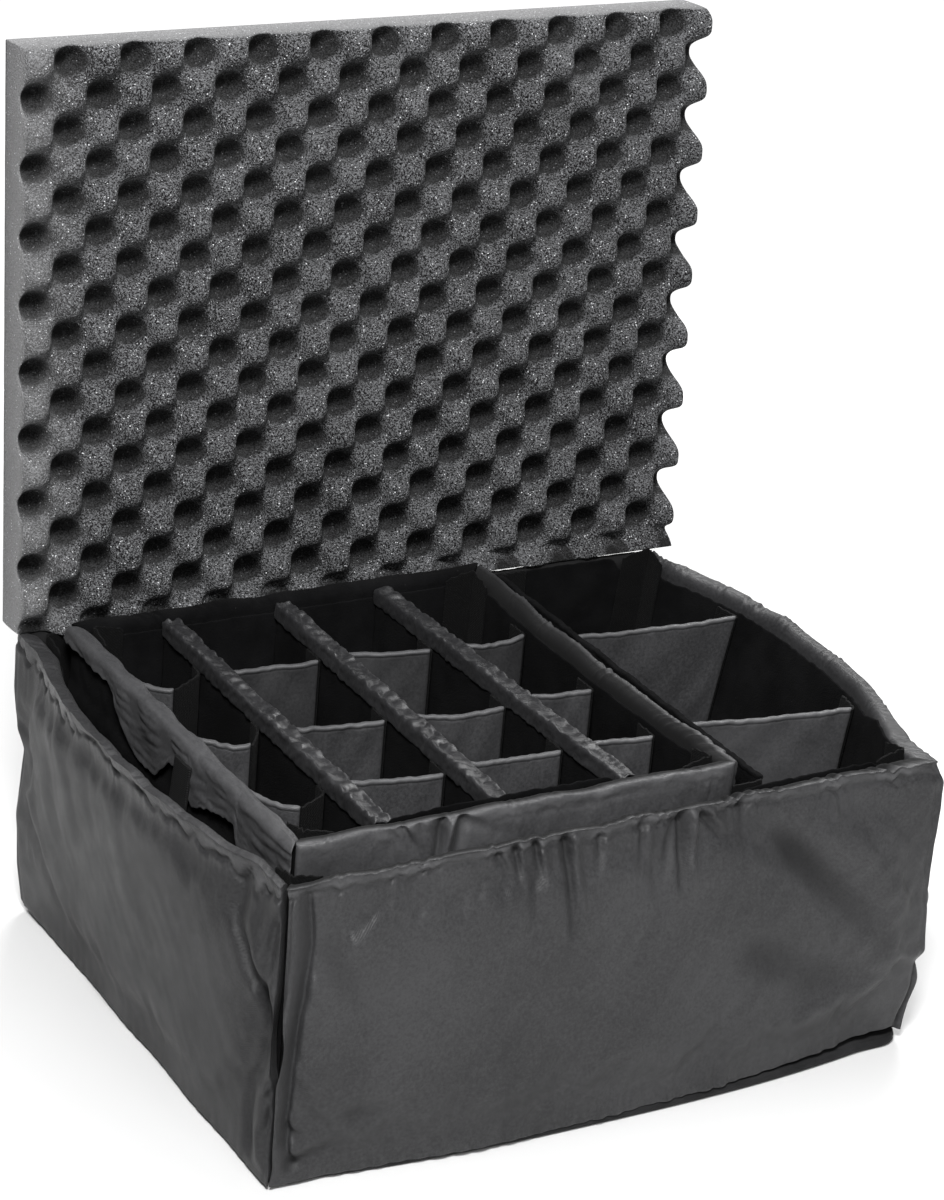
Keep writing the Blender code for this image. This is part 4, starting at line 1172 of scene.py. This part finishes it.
def add_corner_tapes(prefix, box, body, seed):
    """Hook tape folded into the inner corners, its cut top uneven and a little frayed."""
    near = WALL_BUILD + SEAT_GAP
    for number, (corner, (before, after)) in enumerate(CORNERS.items()):
        reaches = np.concatenate([
            np.linspace(-CORNER_ARM, -0.003, 9), [-0.0015, 0.0, 0.0015], np.linspace(0.003, CORNER_ARM, 9),
        ])
        top = box.z_high + CORNER_PROUD
        heights, insets = edge_rows(box.z_low, top, 0.0004, 0.0004, 0.012, 0.008, 0.002, turns=2)
        fray = Ripples(seed + number, 0.007, 1.0, 10)
        proud = TAPE_PROUD.get(corner, 0.0) if prefix == "outer" else 0.0
        grids = []
        for inset, sign in ((near, 1), (near + CORNER_TAPE, -1)):
            grid = np.empty((len(reaches), len(heights), 3))
            for index, reach in enumerate(reaches):
                side = before if reach < 0 else after
                level = inset + sign * insets
                share = reach / (side_length(box, side) - 2 * level)
                x, y = side_place(box, side, share + 1 if reach < 0 else share, heights, level)
                lift = 0.0009 * fray(reach) + proud - TAPE_FALL * (abs(reach) / CORNER_ARM) ** 1.5
                lift = lift * np.clip((heights - box.z_high + 0.010) / 0.010, 0, 1)
                grid[index] = np.stack([x, y, heights + lift], axis=1)
            grids.append(grid)
        name = f"{prefix}_{corner}_corner_tape"
        add_slab(f"soft_{name}", *grids, "hook_tape", body, "hook_tape", nodes=[name])


# ---------------------------------------------------------------- Floors

def plate_grids(low, high, front_line, rounding, radius, seed, swell):
    """A flat padded panel: plan corners rounded, edges rounded, faces a little uneven."""
    width = high[0] - low[0]
    shares = run_shares(width, 0.010, radius, radius / 6)
    xs = low[0] + shares * width
    cross = run_shares(high[1] - low[1], 0.012, 0.012, 0.002)
    end = np.minimum(xs - low[0], high[0] - xs)
    draw = radius - np.sqrt(np.maximum(radius ** 2 - np.maximum(radius - end, 0.0) ** 2, 0.0))
    front = front_line(xs) + draw
    back = high[1] - draw
    y = blend(front[:, None], back[:, None], cross[None, :])
    x = np.broadcast_to(xs[:, None], y.shape)
    edge = np.minimum(np.minimum(y - front[:, None], back[:, None] - y), end[:, None])
    fall = rounding - np.sqrt(np.maximum(rounding ** 2 - np.maximum(rounding - edge, 0.0) ** 2, 0.0))
    ripple = swell * Ripples(seed, 0.060, 0.080)(x, y) * np.clip(edge / 0.02, 0, 1)
    return [
        np.stack([x, y, low[2] + fall], axis=2),
        np.stack([x, y, high[2] - fall - np.abs(ripple)], axis=2),
    ]


def add_floors():
    low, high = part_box("outer_floor_pad")
    draw = LIP + 0.0030

    def front_line(xs):
        share = (xs + BOX_HALF_X) / (2 * BOX_HALF_X)
        inset = blend(draw, 0.0012, smooth_step(1.4 * share - 0.4))
        return side_place(BOX, "front", share, WALL_FOOT, 0.0)[1] + inset

    high = (high[0] - LIP - 0.0010, high[1] - draw, high[2])
    grids = plate_grids((low[0] + draw, low[1], low[2]), high, front_line, 0.0024, 0.020, 5, 0.0002)
    add_slab("soft_outer_floor_pad", *grids, "base_panel", "box", "base_panel", nodes=["outer_floor_pad"], fill=0.9)
    low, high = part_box("tray_floor_pad")
    grids = plate_grids(low, high, lambda xs: np.full(xs.shape, low[1]), 0.0025, 0.006, 6, 0.0003)
    add_slab(
        "soft_tray_floor_pad", *grids, "loop_lining", "tray", "loop_lining", nodes=["tray_floor_pad"], fill=0.8,
    )


# ---------------------------------------------------------------- Dividers

# A cap's reach down the sides, mesh spacing and thickness, and how far the core lies under it
CAP_SIDE = 0.0135
CAP_STEP = 0.0021
CAP_SKIN = 0.0011
CORE_DROP = 0.0036
CORE_IN = 0.0016


def add_long_divider(name, path, low, high, body, seed):
    """A padded board faced with loop cloth, and a crumpled nylon cap over its top edge."""
    half = LONG_THICKNESS / 2
    heights, insets = edge_rows(low, high - CORE_DROP, 0.003, 0.0045, 0.006)
    soft = Ripples(seed, 0.080, 0.070)
    add_ribbon(
        f"soft_{name}_core", path, half - CORE_IN, heights, insets, "loop_lining", body, "loop_lining",
        wave=lambda along, up: 0.0002 * soft(along, up), nodes=[name], fill=0.8,
    )
    add_cap(f"soft_{name}_cap", path, half, high, body, seed + 3, [name])


def add_cap(name, path, half, high, body, seed, nodes):
    """Nylon folded over the top of a divider: raised edge lines, a dished crumpled top."""
    path = polyline(path, CAP_STEP, 0)
    turn = 0.0026
    angles = np.linspace(0, math.pi / 2, 4)
    side_z = np.linspace(high - CAP_SIDE, high - turn, 6)
    profile = [(-half, z) for z in side_z]
    profile += [(-half + turn * (1 - math.cos(a)), high - turn + turn * math.sin(a)) for a in angles[1:]]
    profile += [(x, high) for x in np.linspace(-half + turn, half - turn, 9)[1:-1]]
    profile += [(-x, z) for x, z in profile[:len(side_z) + len(angles) - 1][::-1]]
    profile = np.array(profile)
    tangent = np.gradient(profile, axis=0)
    tangent /= np.hypot(*tangent.T)[:, None]
    outward = np.stack([-tangent[:, 1], tangent[:, 0]], axis=1)
    measure = np.concatenate([[0.0], np.cumsum(np.hypot(*np.diff(profile, axis=0).T))])

    normals = normals_of(path)
    lengths = np.concatenate([[0.0], np.cumsum(np.hypot(*np.diff(path[:, :2], axis=0).T))])
    along, around = np.meshgrid(lengths, measure, indexing="ij")
    slanted = along + 0.60 * around
    pleats = Ripples(seed, 0.0260, 0.030, 16)
    small = Ripples(seed + 4, 0.0120, 0.020, 18)
    slow = Ripples(seed + 1, 0.050, 0.300, 8)
    hem = Ripples(seed + 2, 0.013, 1.0, 10)
    flat = np.clip(1 - np.abs(profile[:, 0]) / (half - 0.0016), 0.0, 1.0)[None, :] ** 0.6
    on_top = (profile[:, 1] > high - 0.0012)[None, :]
    edge = np.exp(-((np.abs(profile[:, 0]) - (half - 0.0018)) / 0.0009) ** 2)[None, :] * on_top
    push = 0.0017 * pleats.creases(slanted, around) * (0.35 + 0.65 * on_top)
    push = push + 0.0006 * small.creases(slanted, around) + 0.0004 * slow(along, around)
    push = push - 0.0010 * flat * on_top + 0.0007 * edge * (0.8 + 0.5 * hem(along)) - 0.0002
    push = np.clip(push, np.where(on_top, -0.0024, -0.0009), 0.0014)
    grids = []
    for depth in (0.0, CAP_SKIN):
        reach = profile[None, :, 0] + outward[None, :, 0] * (np.minimum(push, 0.0004) - depth)
        z = profile[None, :, 1] + outward[None, :, 1] * (push - depth)
        bottom = (profile[:, 1] <= side_z[0] + 1e-6)[None, :]
        z = z + bottom * 0.0005 * hem(along)
        places = path[:, None, :2] - normals[:, None, :] * reach[:, :, None]
        grids.append(np.concatenate([places, z[:, :, None]], axis=2))
    return add_slab(name, *grids, "nylon_trim", body, "nylon", nodes=nodes, fill=0.4)


def add_long_dividers():
    end = TRAY_INNER_Y - GAP
    for index, (rear, front) in enumerate(LONG_X):
        name = f"tray_long_divider_{index + 1}"
        path = polyline([(rear, end), (blend(rear, front, 0.5), 0.0), (front, -end)], STEP, 0)
        body = f"long_divider_{index + 1}"
        add_long_divider(name, path, TRAY_WALL_FOOT, TRAY_RIM - LONG_DROP, body, 200 + 10 * index)


def panel_rows(low, high):
    """Rows of a thin divider: a bound top edge, a little thicker, with a groove below it."""
    heights, insets = edge_rows(low, high, 0.0008, 0.0012, 0.006, 0.006, 0.0008, turns=3)
    from_top = high - heights
    bead = np.where(from_top < 0.0030, 0.0, 1.0)
    groove = 0.0003 * np.exp(-((from_top - 0.0036) / 0.0006) ** 2)
    return heights, insets + 0.00035 * bead + groove


def add_cross_divider(
    name, pieces, low, high, body, seed, thickness=CROSS_THICKNESS, sag=0.0012, lean=None,
    look="nylon_panel", painted_shade=0.0, pale=0.0,
):
    """A thin divider: nylon panel with a bound top, and hook tape tabs folded back at its ends."""
    tab_half = TAB_THICKNESS / 2
    panel, tabs = pieces
    path = polyline(panel, 0.003, 2)
    length = np.hypot(*np.diff(path[:, :2], axis=0).T).sum()
    heights, insets = panel_rows(low, high)
    soft = Ripples(seed, 0.045, 0.060)
    tight = Ripples(seed + 1, 0.012, 0.020, 14)

    def wave(along, up):
        hold = np.clip(np.minimum(along, length - along) / 0.012, 0.0, 1.0)
        top = np.exp(-(high - up) / 0.006)
        return hold * (0.0006 * soft(along, up) + 0.00025 * top * tight(along, up))

    def shift(along, up):
        share = np.clip(along / length, 0, 1)
        tall = np.clip((up - low) / (high - low), 0, 1)
        return tall ** 3 * (-sag * 4 * share * (1 - share) + 0.0003 * tight(along))

    # Painted highlight along the bound top edge. The pale share paints light over the whole panel and the other share
    # paints shade on it below that edge
    wear_and_painted_light = smooth_step((heights - high + 0.0022) / 0.0010)
    add_ribbon(
        f"soft_{name}", path, thickness / 2, heights, insets, look, body,
        "nylon" if look.startswith("nylon") else look,
        wave=wave, shift=shift, lean=lean, nodes=[name], fill=0.5,
        marks={"wear_and_painted_light": (np.maximum(wear_and_painted_light, pale),) * 2, "lining_and_shade": (painted_shade * (1 - wear_and_painted_light),) * 2},
    )
    for number, tab in enumerate(tabs):
        path_tab = polyline(tab, 0.0016, 2)
        rows, ins = edge_rows(low + 0.001, high - 0.0015, 0.0004, 0.0004, 0.010, 0.006, 0.002, turns=2)
        fray = Ripples(seed + 5 + number, 0.006, 1.0, 8)
        add_ribbon(
            f"soft_{name}_tab_{number + 1}", path_tab, tab_half, rows, ins, "hook_tape", body, "hook_tape",
            shift=lambda along, up, fray=fray: 0.0006 * fray(along) * np.clip((up - high + 0.006) / 0.006, 0, 1),
            lean=lean, nodes=[name],
        )


def folded_pieces(left, right, left_y, right_y, bow=0.0, cells=6):
    tab_half = TAB_THICKNESS / 2
    first = left + GAP + tab_half
    final = right - GAP - tab_half
    panel = []
    for share in np.linspace(0, 1, cells + 1):
        x = blend(first + FOLD * 0.9, final - FOLD * 0.9, share)
        panel.append((x, blend(left_y, right_y, share) + bow * 4 * share * (1 - share)))
    tabs = [
        [
            (first, left_y + TAB_LENGTH), (first, left_y + FOLD),
            (first + FOLD * 0.3, left_y + FOLD * 0.3), (first + FOLD * 1.2, left_y),
        ],
        [
            (final, right_y + TAB_LENGTH), (final, right_y + FOLD),
            (final - FOLD * 0.3, right_y + FOLD * 0.3), (final - FOLD * 1.2, right_y),
        ],
    ]
    return panel, tabs


def bent_pieces(left, right, left_y, vertex_y, right_y, vertex_share):
    tab_half = TAB_THICKNESS / 2
    first = left + GAP + tab_half
    final = right - GAP - tab_half
    bend = blend(first, final, vertex_share)
    panel = [(first + FOLD * 0.9, left_y)]
    for share in (0.2, 0.35, 0.5, 0.7, 0.85, 1.0):
        drop = math.sin(share * math.pi / 2)
        panel.append((blend(first + FOLD, bend, share), blend(left_y, vertex_y, drop)))
    tabs = [
        [
            (first, left_y + TAB_LENGTH), (first, left_y + FOLD),
            (first + FOLD * 0.3, left_y + FOLD * 0.2), (first + FOLD * 1.2, left_y),
        ],
        [
            (bend, vertex_y), (bend + FOLD, vertex_y + FOLD / 2), (final - FOLD / 2, right_y - FOLD),
            (final, right_y + FOLD), (final, right_y + TAB_LENGTH / 2),
        ],
    ]
    return panel, tabs


def add_cross_dividers():
    low, high = TRAY_WALL_FOOT, TRAY_RIM - CROSS_DROP
    for row, (left_share, vertex_share, right_share, bend_share) in enumerate(BENT_SHARES):
        ys = [share * TRAY_INNER_Y for share in (left_share, vertex_share, right_share)]
        left = column_faces(0, ys[0])[0]
        right = min(column_faces(0, ys[2] + reach)[1] for reach in (0.0, TAB_LENGTH))
        pieces = bent_pieces(left, right, *ys, bend_share)
        name = f"cross_divider_1_{row + 1}"
        add_cross_divider(f"tray_{name}", pieces, low, high, name, 300 + 20 * row)
    for column, rows in enumerate(CROSS_SHARES, start=1):
        for row, (left_share, right_share, bow_share) in enumerate(rows):
            left_y, right_y = left_share * TRAY_INNER_Y, right_share * TRAY_INNER_Y
            left = max(column_faces(column, left_y + reach)[0] for reach in (0.0, TAB_LENGTH))
            right = min(column_faces(column, right_y + reach)[1] for reach in (0.0, TAB_LENGTH))
            pieces = folded_pieces(left, right, left_y, right_y, bow_share * TRAY_INNER_Y)
            name = f"cross_divider_{column + 1}_{row + 1}"
            # Painted shade on the dividers of the rear rows, darkest at the back
            add_cross_divider(
                f"tray_{name}", pieces, low, high, name, 400 + 60 * column + 20 * row,
                painted_shade=(0.46, 0.14, 0.0)[row],
            )


def add_bay_dividers():
    low = WALL_FOOT
    tab_half = TAB_THICKNESS / 2
    rims = (WALL_FOOT, BOX_HEIGHT)
    front = max(face_at(BOX, "front", BAY_X, z) for z in rims) + SEAT_GAP + tab_half
    rear = min(face_at(BOX, "back", BAY_X + BAY_FLAP, z) for z in rims)
    rear = min(rear, LID_FRONT) - SEAT_GAP - tab_half
    panel = [(BAY_X, y) for y in np.linspace(front + FOLD, rear - FOLD, 6)]
    tabs = [
        [(BAY_X - BAY_FLAP, front), (BAY_X - FOLD, front), (BAY_X, front + FOLD)],
        [(BAY_X, rear - FOLD), (BAY_X + FOLD, rear), (BAY_X + BAY_FLAP, rear)],
    ]
    add_cross_divider(
        "bay_long_divider", (panel, tabs), low, BAY_DIVIDER_TOP, "bay_divider", 700, BAY_THICKNESS, 0.0008,
        look="loop_lining",
    )
    for index, shares in enumerate(BAY_CROSS_SHARES):
        left_y, right_y = (share * INNER_HALF_Y for share in shares)
        foot = face_at(BOX, "right", right_y, low)
        pieces = folded_pieces(BAY_RIGHT_FACE, foot - SEAT_GAP, left_y, right_y)
        start = BAY_RIGHT_FACE + GAP + tab_half
        reach = foot - SEAT_GAP - GAP - tab_half - start

        def lean(grid, start=start, reach=reach, foot=foot):
            share = np.clip((grid[:, :, 0] - start) / reach, 0.0, 1.0)
            return share * (face_at(BOX, "right", grid[:, :, 1], grid[:, :, 2]) - foot)

        # Painted shade on the first bay divider, painted light on the second
        add_cross_divider(
            f"bay_cross_divider_{index + 1}", pieces, low, BAY_CROSS_TOP, f"bay_cross_{index + 1}",
            740 + 20 * index, sag=0.002,
            lean=lean, painted_shade=(0.10, 0.0)[index], pale=(0.0, 0.30)[index],
        )


def add_lower_layer():
    low, high = WALL_FOOT, TRAY_BOTTOM - GAP
    for index in range(len(LOWER_LONG_SHARES)):
        name = f"lower_long_divider_{index + 1}"
        near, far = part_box(name)
        x = (near[0] + far[0]) / 2
        path = polyline([(x, far[1]), (x, near[1])], 0.008, 0)
        add_long_divider(name, path, low, high, "box", 800 + 10 * index)
    for index in range(len(LOWER_CROSS_SHARES)):
        name = f"lower_cross_divider_{index + 1}"
        near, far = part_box(name)
        y = (near[1] + far[1]) / 2
        panel = [(near[0] + 0.0004, y), (far[0] - 0.0004, y)]
        add_cross_divider(name, (panel, []), low, high, "box", 860 + 10 * index, sag=0.0)


# ---------------------------------------------------------------- Pull tabs

def add_pull_tabs():
    """Doubled webbing with sewn edges, its free end curling out."""
    for side, outward in (("left", -1), ("right", 1)):
        middle = WEB_SHARE * TRAY_HALF_Y
        ys = middle + WEB_WIDTH * (run_shares(WEB_WIDTH, 0.0025, 0.003, 0.001) - 0.5)
        ups = run_shares(WEB_LENGTH, 0.003, 0.004, 0.001)
        y, up = np.meshgrid(ys, ups, indexing="ij")
        z = TRAY_RIM - WEB_DROP - WEB_LENGTH * (1 - up)
        share = (y / TRAY_HALF_Y + 1) / 2
        height = (z - TRAY.z_low) / (TRAY.z_high - TRAY.z_low)
        crown = WALL_CROWN * 16 * share * (1 - share) * height * (1 - height)
        edge = np.minimum(y - ys[0], ys[-1] - y)
        thin = 0.0006 * np.exp(-(edge / 0.0010) ** 2)
        stitch = 0.0003 * (np.exp(-((edge - 0.003) / 0.0006) ** 2))
        grids = []
        for across in (0.0, 1.0):
            out = crown + SEAT_GAP + WEB_CURL * (1 - up) ** 2 + blend(thin, WEB_THICKNESS - thin - stitch, across)
            x = face_at(TRAY, side, y, z, 0.0) + outward * out
            grids.append(np.stack([x, y, z], axis=2))
        name = f"tray_{side}_pull_tab"
        add_slab(f"soft_{name}", *grids, "webbing", "tray", "webbing", nodes=[name])


# ---------------------------------------------------------------- Lid foam

# How much deeper than the solid's valleys the hollows are
LID_DEEPER = 0.005
# The foot of the foam is squeezed where it stands on the rim, so its hollows are shallower there
FOOT_COVER = 0.007
FOOT_REACH = 0.026
# Each hollow's flat bottom and its edge, as shares of the lattice's pitch, and its part of the depth
HOLE_FLOOR = 0.06
HOLE_EDGE = 0.315
HOLE_SHARE = 0.58


def add_lid_foam():
    """Convoluted foam: an egg-crate lattice with round valleys, cut square at its edges."""
    us, vs = (
        np.concatenate([[0.0, 0.0008], np.linspace(0.003, side - 0.003, count), [side - 0.0008, side]])
        for side, count in ((LID_WIDTH, 189), (LID_HEIGHT, 147))
    )
    u, v = np.meshgrid(us, vs, indexing="ij")
    turn = 2 * math.pi / LID_PITCH
    wave = np.cos(turn * (u - LID_FIRST_COLUMN)) * np.cos(turn * (LID_HEIGHT - LID_FIRST_ROW - v))
    column = (u - LID_FIRST_COLUMN) / LID_PITCH
    row = (LID_HEIGHT - LID_FIRST_ROW - v) / LID_PITCH
    from_hole = np.full(u.shape, 1.0)
    for shift in ((0.5, 0.0), (0.0, 0.5)):
        aside, above = (place - off - np.round(place - off) for place, off in zip((column, row), shift))
        from_hole = np.minimum(from_hole, np.hypot(aside, above))
    hole = smooth_step((from_hole - HOLE_FLOOR) / (HOLE_EDGE - HOLE_FLOOR))
    fullness = HOLE_SHARE * hole + (1 - HOLE_SHARE) * smooth_step((wave + 0.25) / 1.15)
    hollow = 1 - smooth_step((from_hole - 0.15) / 0.13)
    soft = Ripples(41, 0.120, 0.120)
    cut = Ripples(42, 0.012, 0.012, 24)
    edge = np.minimum(np.minimum(u, LID_WIDTH - u), np.minimum(v, LID_HEIGHT - v))
    grids = []
    for front in (True, False):
        w = 0.0 * u
        if front:
            w = blend(LID_VALLEY - LID_DEEPER, LID_PEAK, fullness) + 0.0005 * soft(u, v) + 0.0002 * cut(u, v)
            rim = BOX_HALF_Y + SETTLE * blend(SETTLE_SHARES[(-1, 1)][1], SETTLE_SHARES[(1, 1)][1], u / LID_WIDTH)
            cover = FOOT_COVER + 0.0030 * smooth_step((u / LID_WIDTH - 0.55) / 0.1)
            filled = np.minimum(LID_BACK - rim + cover, LID_PEAK)
            w = np.maximum(w, filled - (filled - LID_VALLEY + LID_DEEPER) * smooth_step(v / FOOT_REACH))
            w = np.minimum(w, LID_PEAK) - 0.0004 * (edge < 0.0005)
        grids.append(np.stack([
            LID_SHIFT - LID_WIDTH / 2 + u,
            LID_BACK + v * math.sin(LID_LEAN) - w * math.cos(LID_LEAN),
            LID_FOOT + v * math.cos(LID_LEAN) + w * math.sin(LID_LEAN),
        ], axis=2))
    # Sawn cuts are paler; the top cut gets less of it (painted shade), and a strip of the front by the left edge,
    # outside the hollows, gets painted light
    sawn_edge = (edge < 0.0005) * np.where(v > LID_HEIGHT - 0.0005, 0.55, 1.0)
    left_strip = 0.36 * np.exp(-((u / 0.030) ** 2)) * (1 - hollow)
    marks = {
        "sawn_and_painted_light": (np.maximum(sawn_edge, left_strip), 0.85),
        "column": (column, 0.0),
        "row": (row, 0.0),
    }
    add_slab("soft_lid_foam", *grids, "lid_foam", "lid", "lid_foam", nodes=["lid_foam"], fill=1.0, marks=marks)


# ---------------------------------------------------------------- Studio

CAMERA_PLACE = (-1.2106, -1.9643, 1.3184)
CAMERA_RIGHT = Vector((0.8693, -0.4879, 0.0798))
CAMERA_UP = Vector((0.1324, 0.3853, 0.9133))
CAMERA_LENS = 103.46
CAMERA_SENSOR = 36.0


def add_camera():
    data = bpy.data.cameras.new("camera")
    data.lens = CAMERA_LENS
    data.sensor_width = CAMERA_SENSOR
    camera = bpy.data.objects.new("camera", data)
    bpy.context.scene.collection.objects.link(camera)
    right = CAMERA_RIGHT.normalized()
    back = right.cross(CAMERA_UP).normalized()
    up = back.cross(right)
    camera.matrix_world = Matrix.Translation(CAMERA_PLACE) @ Matrix((right, up, back)).transposed().to_4x4()
    bpy.context.scene.camera = camera


def add_light(name, place, target, size, power, spread):
    data = bpy.data.lights.new(name, "AREA")
    data.shape = "RECTANGLE"
    data.size, data.size_y = size
    data.energy = power
    data.spread = math.radians(spread)
    light = bpy.data.objects.new(name, data)
    light.location = place
    direction = Vector(target) - Vector(place)
    light.rotation_euler = direction.to_track_quat("-Z", "Y").to_euler()
    bpy.context.scene.collection.objects.link(light)


def add_studio():
    world = bpy.data.worlds.new("studio")
    world.use_nodes = True
    tree = world.node_tree
    ambient = tree.nodes["Background"]
    ambient.inputs["Color"].default_value = (1.0, 1.0, 1.0, 1.0)
    ambient.inputs["Strength"].default_value = AMBIENT
    backdrop = tree.nodes.new("ShaderNodeBackground")
    backdrop.inputs["Color"].default_value = (1.0, 1.0, 1.0, 1.0)
    backdrop.inputs["Strength"].default_value = 1.1
    seen = tree.nodes.new("ShaderNodeLightPath")
    choice = tree.nodes.new("ShaderNodeMixShader")
    tree.links.new(seen.outputs["Is Camera Ray"], choice.inputs["Fac"])
    tree.links.new(ambient.outputs["Background"], choice.inputs[1])
    tree.links.new(backdrop.outputs["Background"], choice.inputs[2])
    tree.links.new(choice.outputs["Shader"], tree.nodes["World Output"].inputs["Surface"])
    bpy.context.scene.world = world
    bpy.context.scene.view_settings.view_transform = "Standard"

    bpy.ops.mesh.primitive_plane_add(size=2.6, location=(0.0, 0.0, -0.0004))
    floor = bpy.context.active_object
    floor.name = "studio_floor"
    paint = Look("studio_floor", 0.9, Specular_IOR_Level=0.1)
    pale = paint.mix(paint.span(paint.noise(3.0, 2.0), 0.3, 0.7), (0.66, 0.66, 0.66), (0.69, 0.69, 0.69))
    floor.data.materials.append(paint.finish(pale))

    for light in LIGHTS:
        add_light(*light)


AMBIENT = 0.16
# Name, place, aim, size, power and spread in degrees of each soft box
LIGHTS = [
    ("key", (-0.98, -1.35, 2.25), (-0.05, 0.05, 0.30), (0.6, 0.6), 98.0, 180.0),
    ("fill", (-0.3, -2.5, 1.9), (0.0, 0.0, 0.2), (1.3, 1.3), 20.0, 180.0),
    ("top", (0.3, 0.4, 2.7), (0.0, 0.0, 0.2), (1.4, 1.4), 24.0, 180.0),
    ("back", (1.3, 1.7, 2.2), (1.0, 1.3, 0.0), (1.6, 1.6), 80.0, 180.0),
]

add_camera()
add_walls("outer", BOX, "box", 100, FOLDS, OUTER_STYLES, simulate=True)
add_corner_tapes("outer", BOX, "box", 150)
add_walls("tray", TRAY, "tray", 160, TRAY_FOLDS, TRAY_STYLES)
add_tray_wrap()
add_corner_tapes("tray", TRAY, "tray", 190)
add_floors()
add_lower_layer()
add_bay_dividers()
add_pull_tabs()
add_long_dividers()
add_cross_dividers()
add_lid_foam()
add_studio()
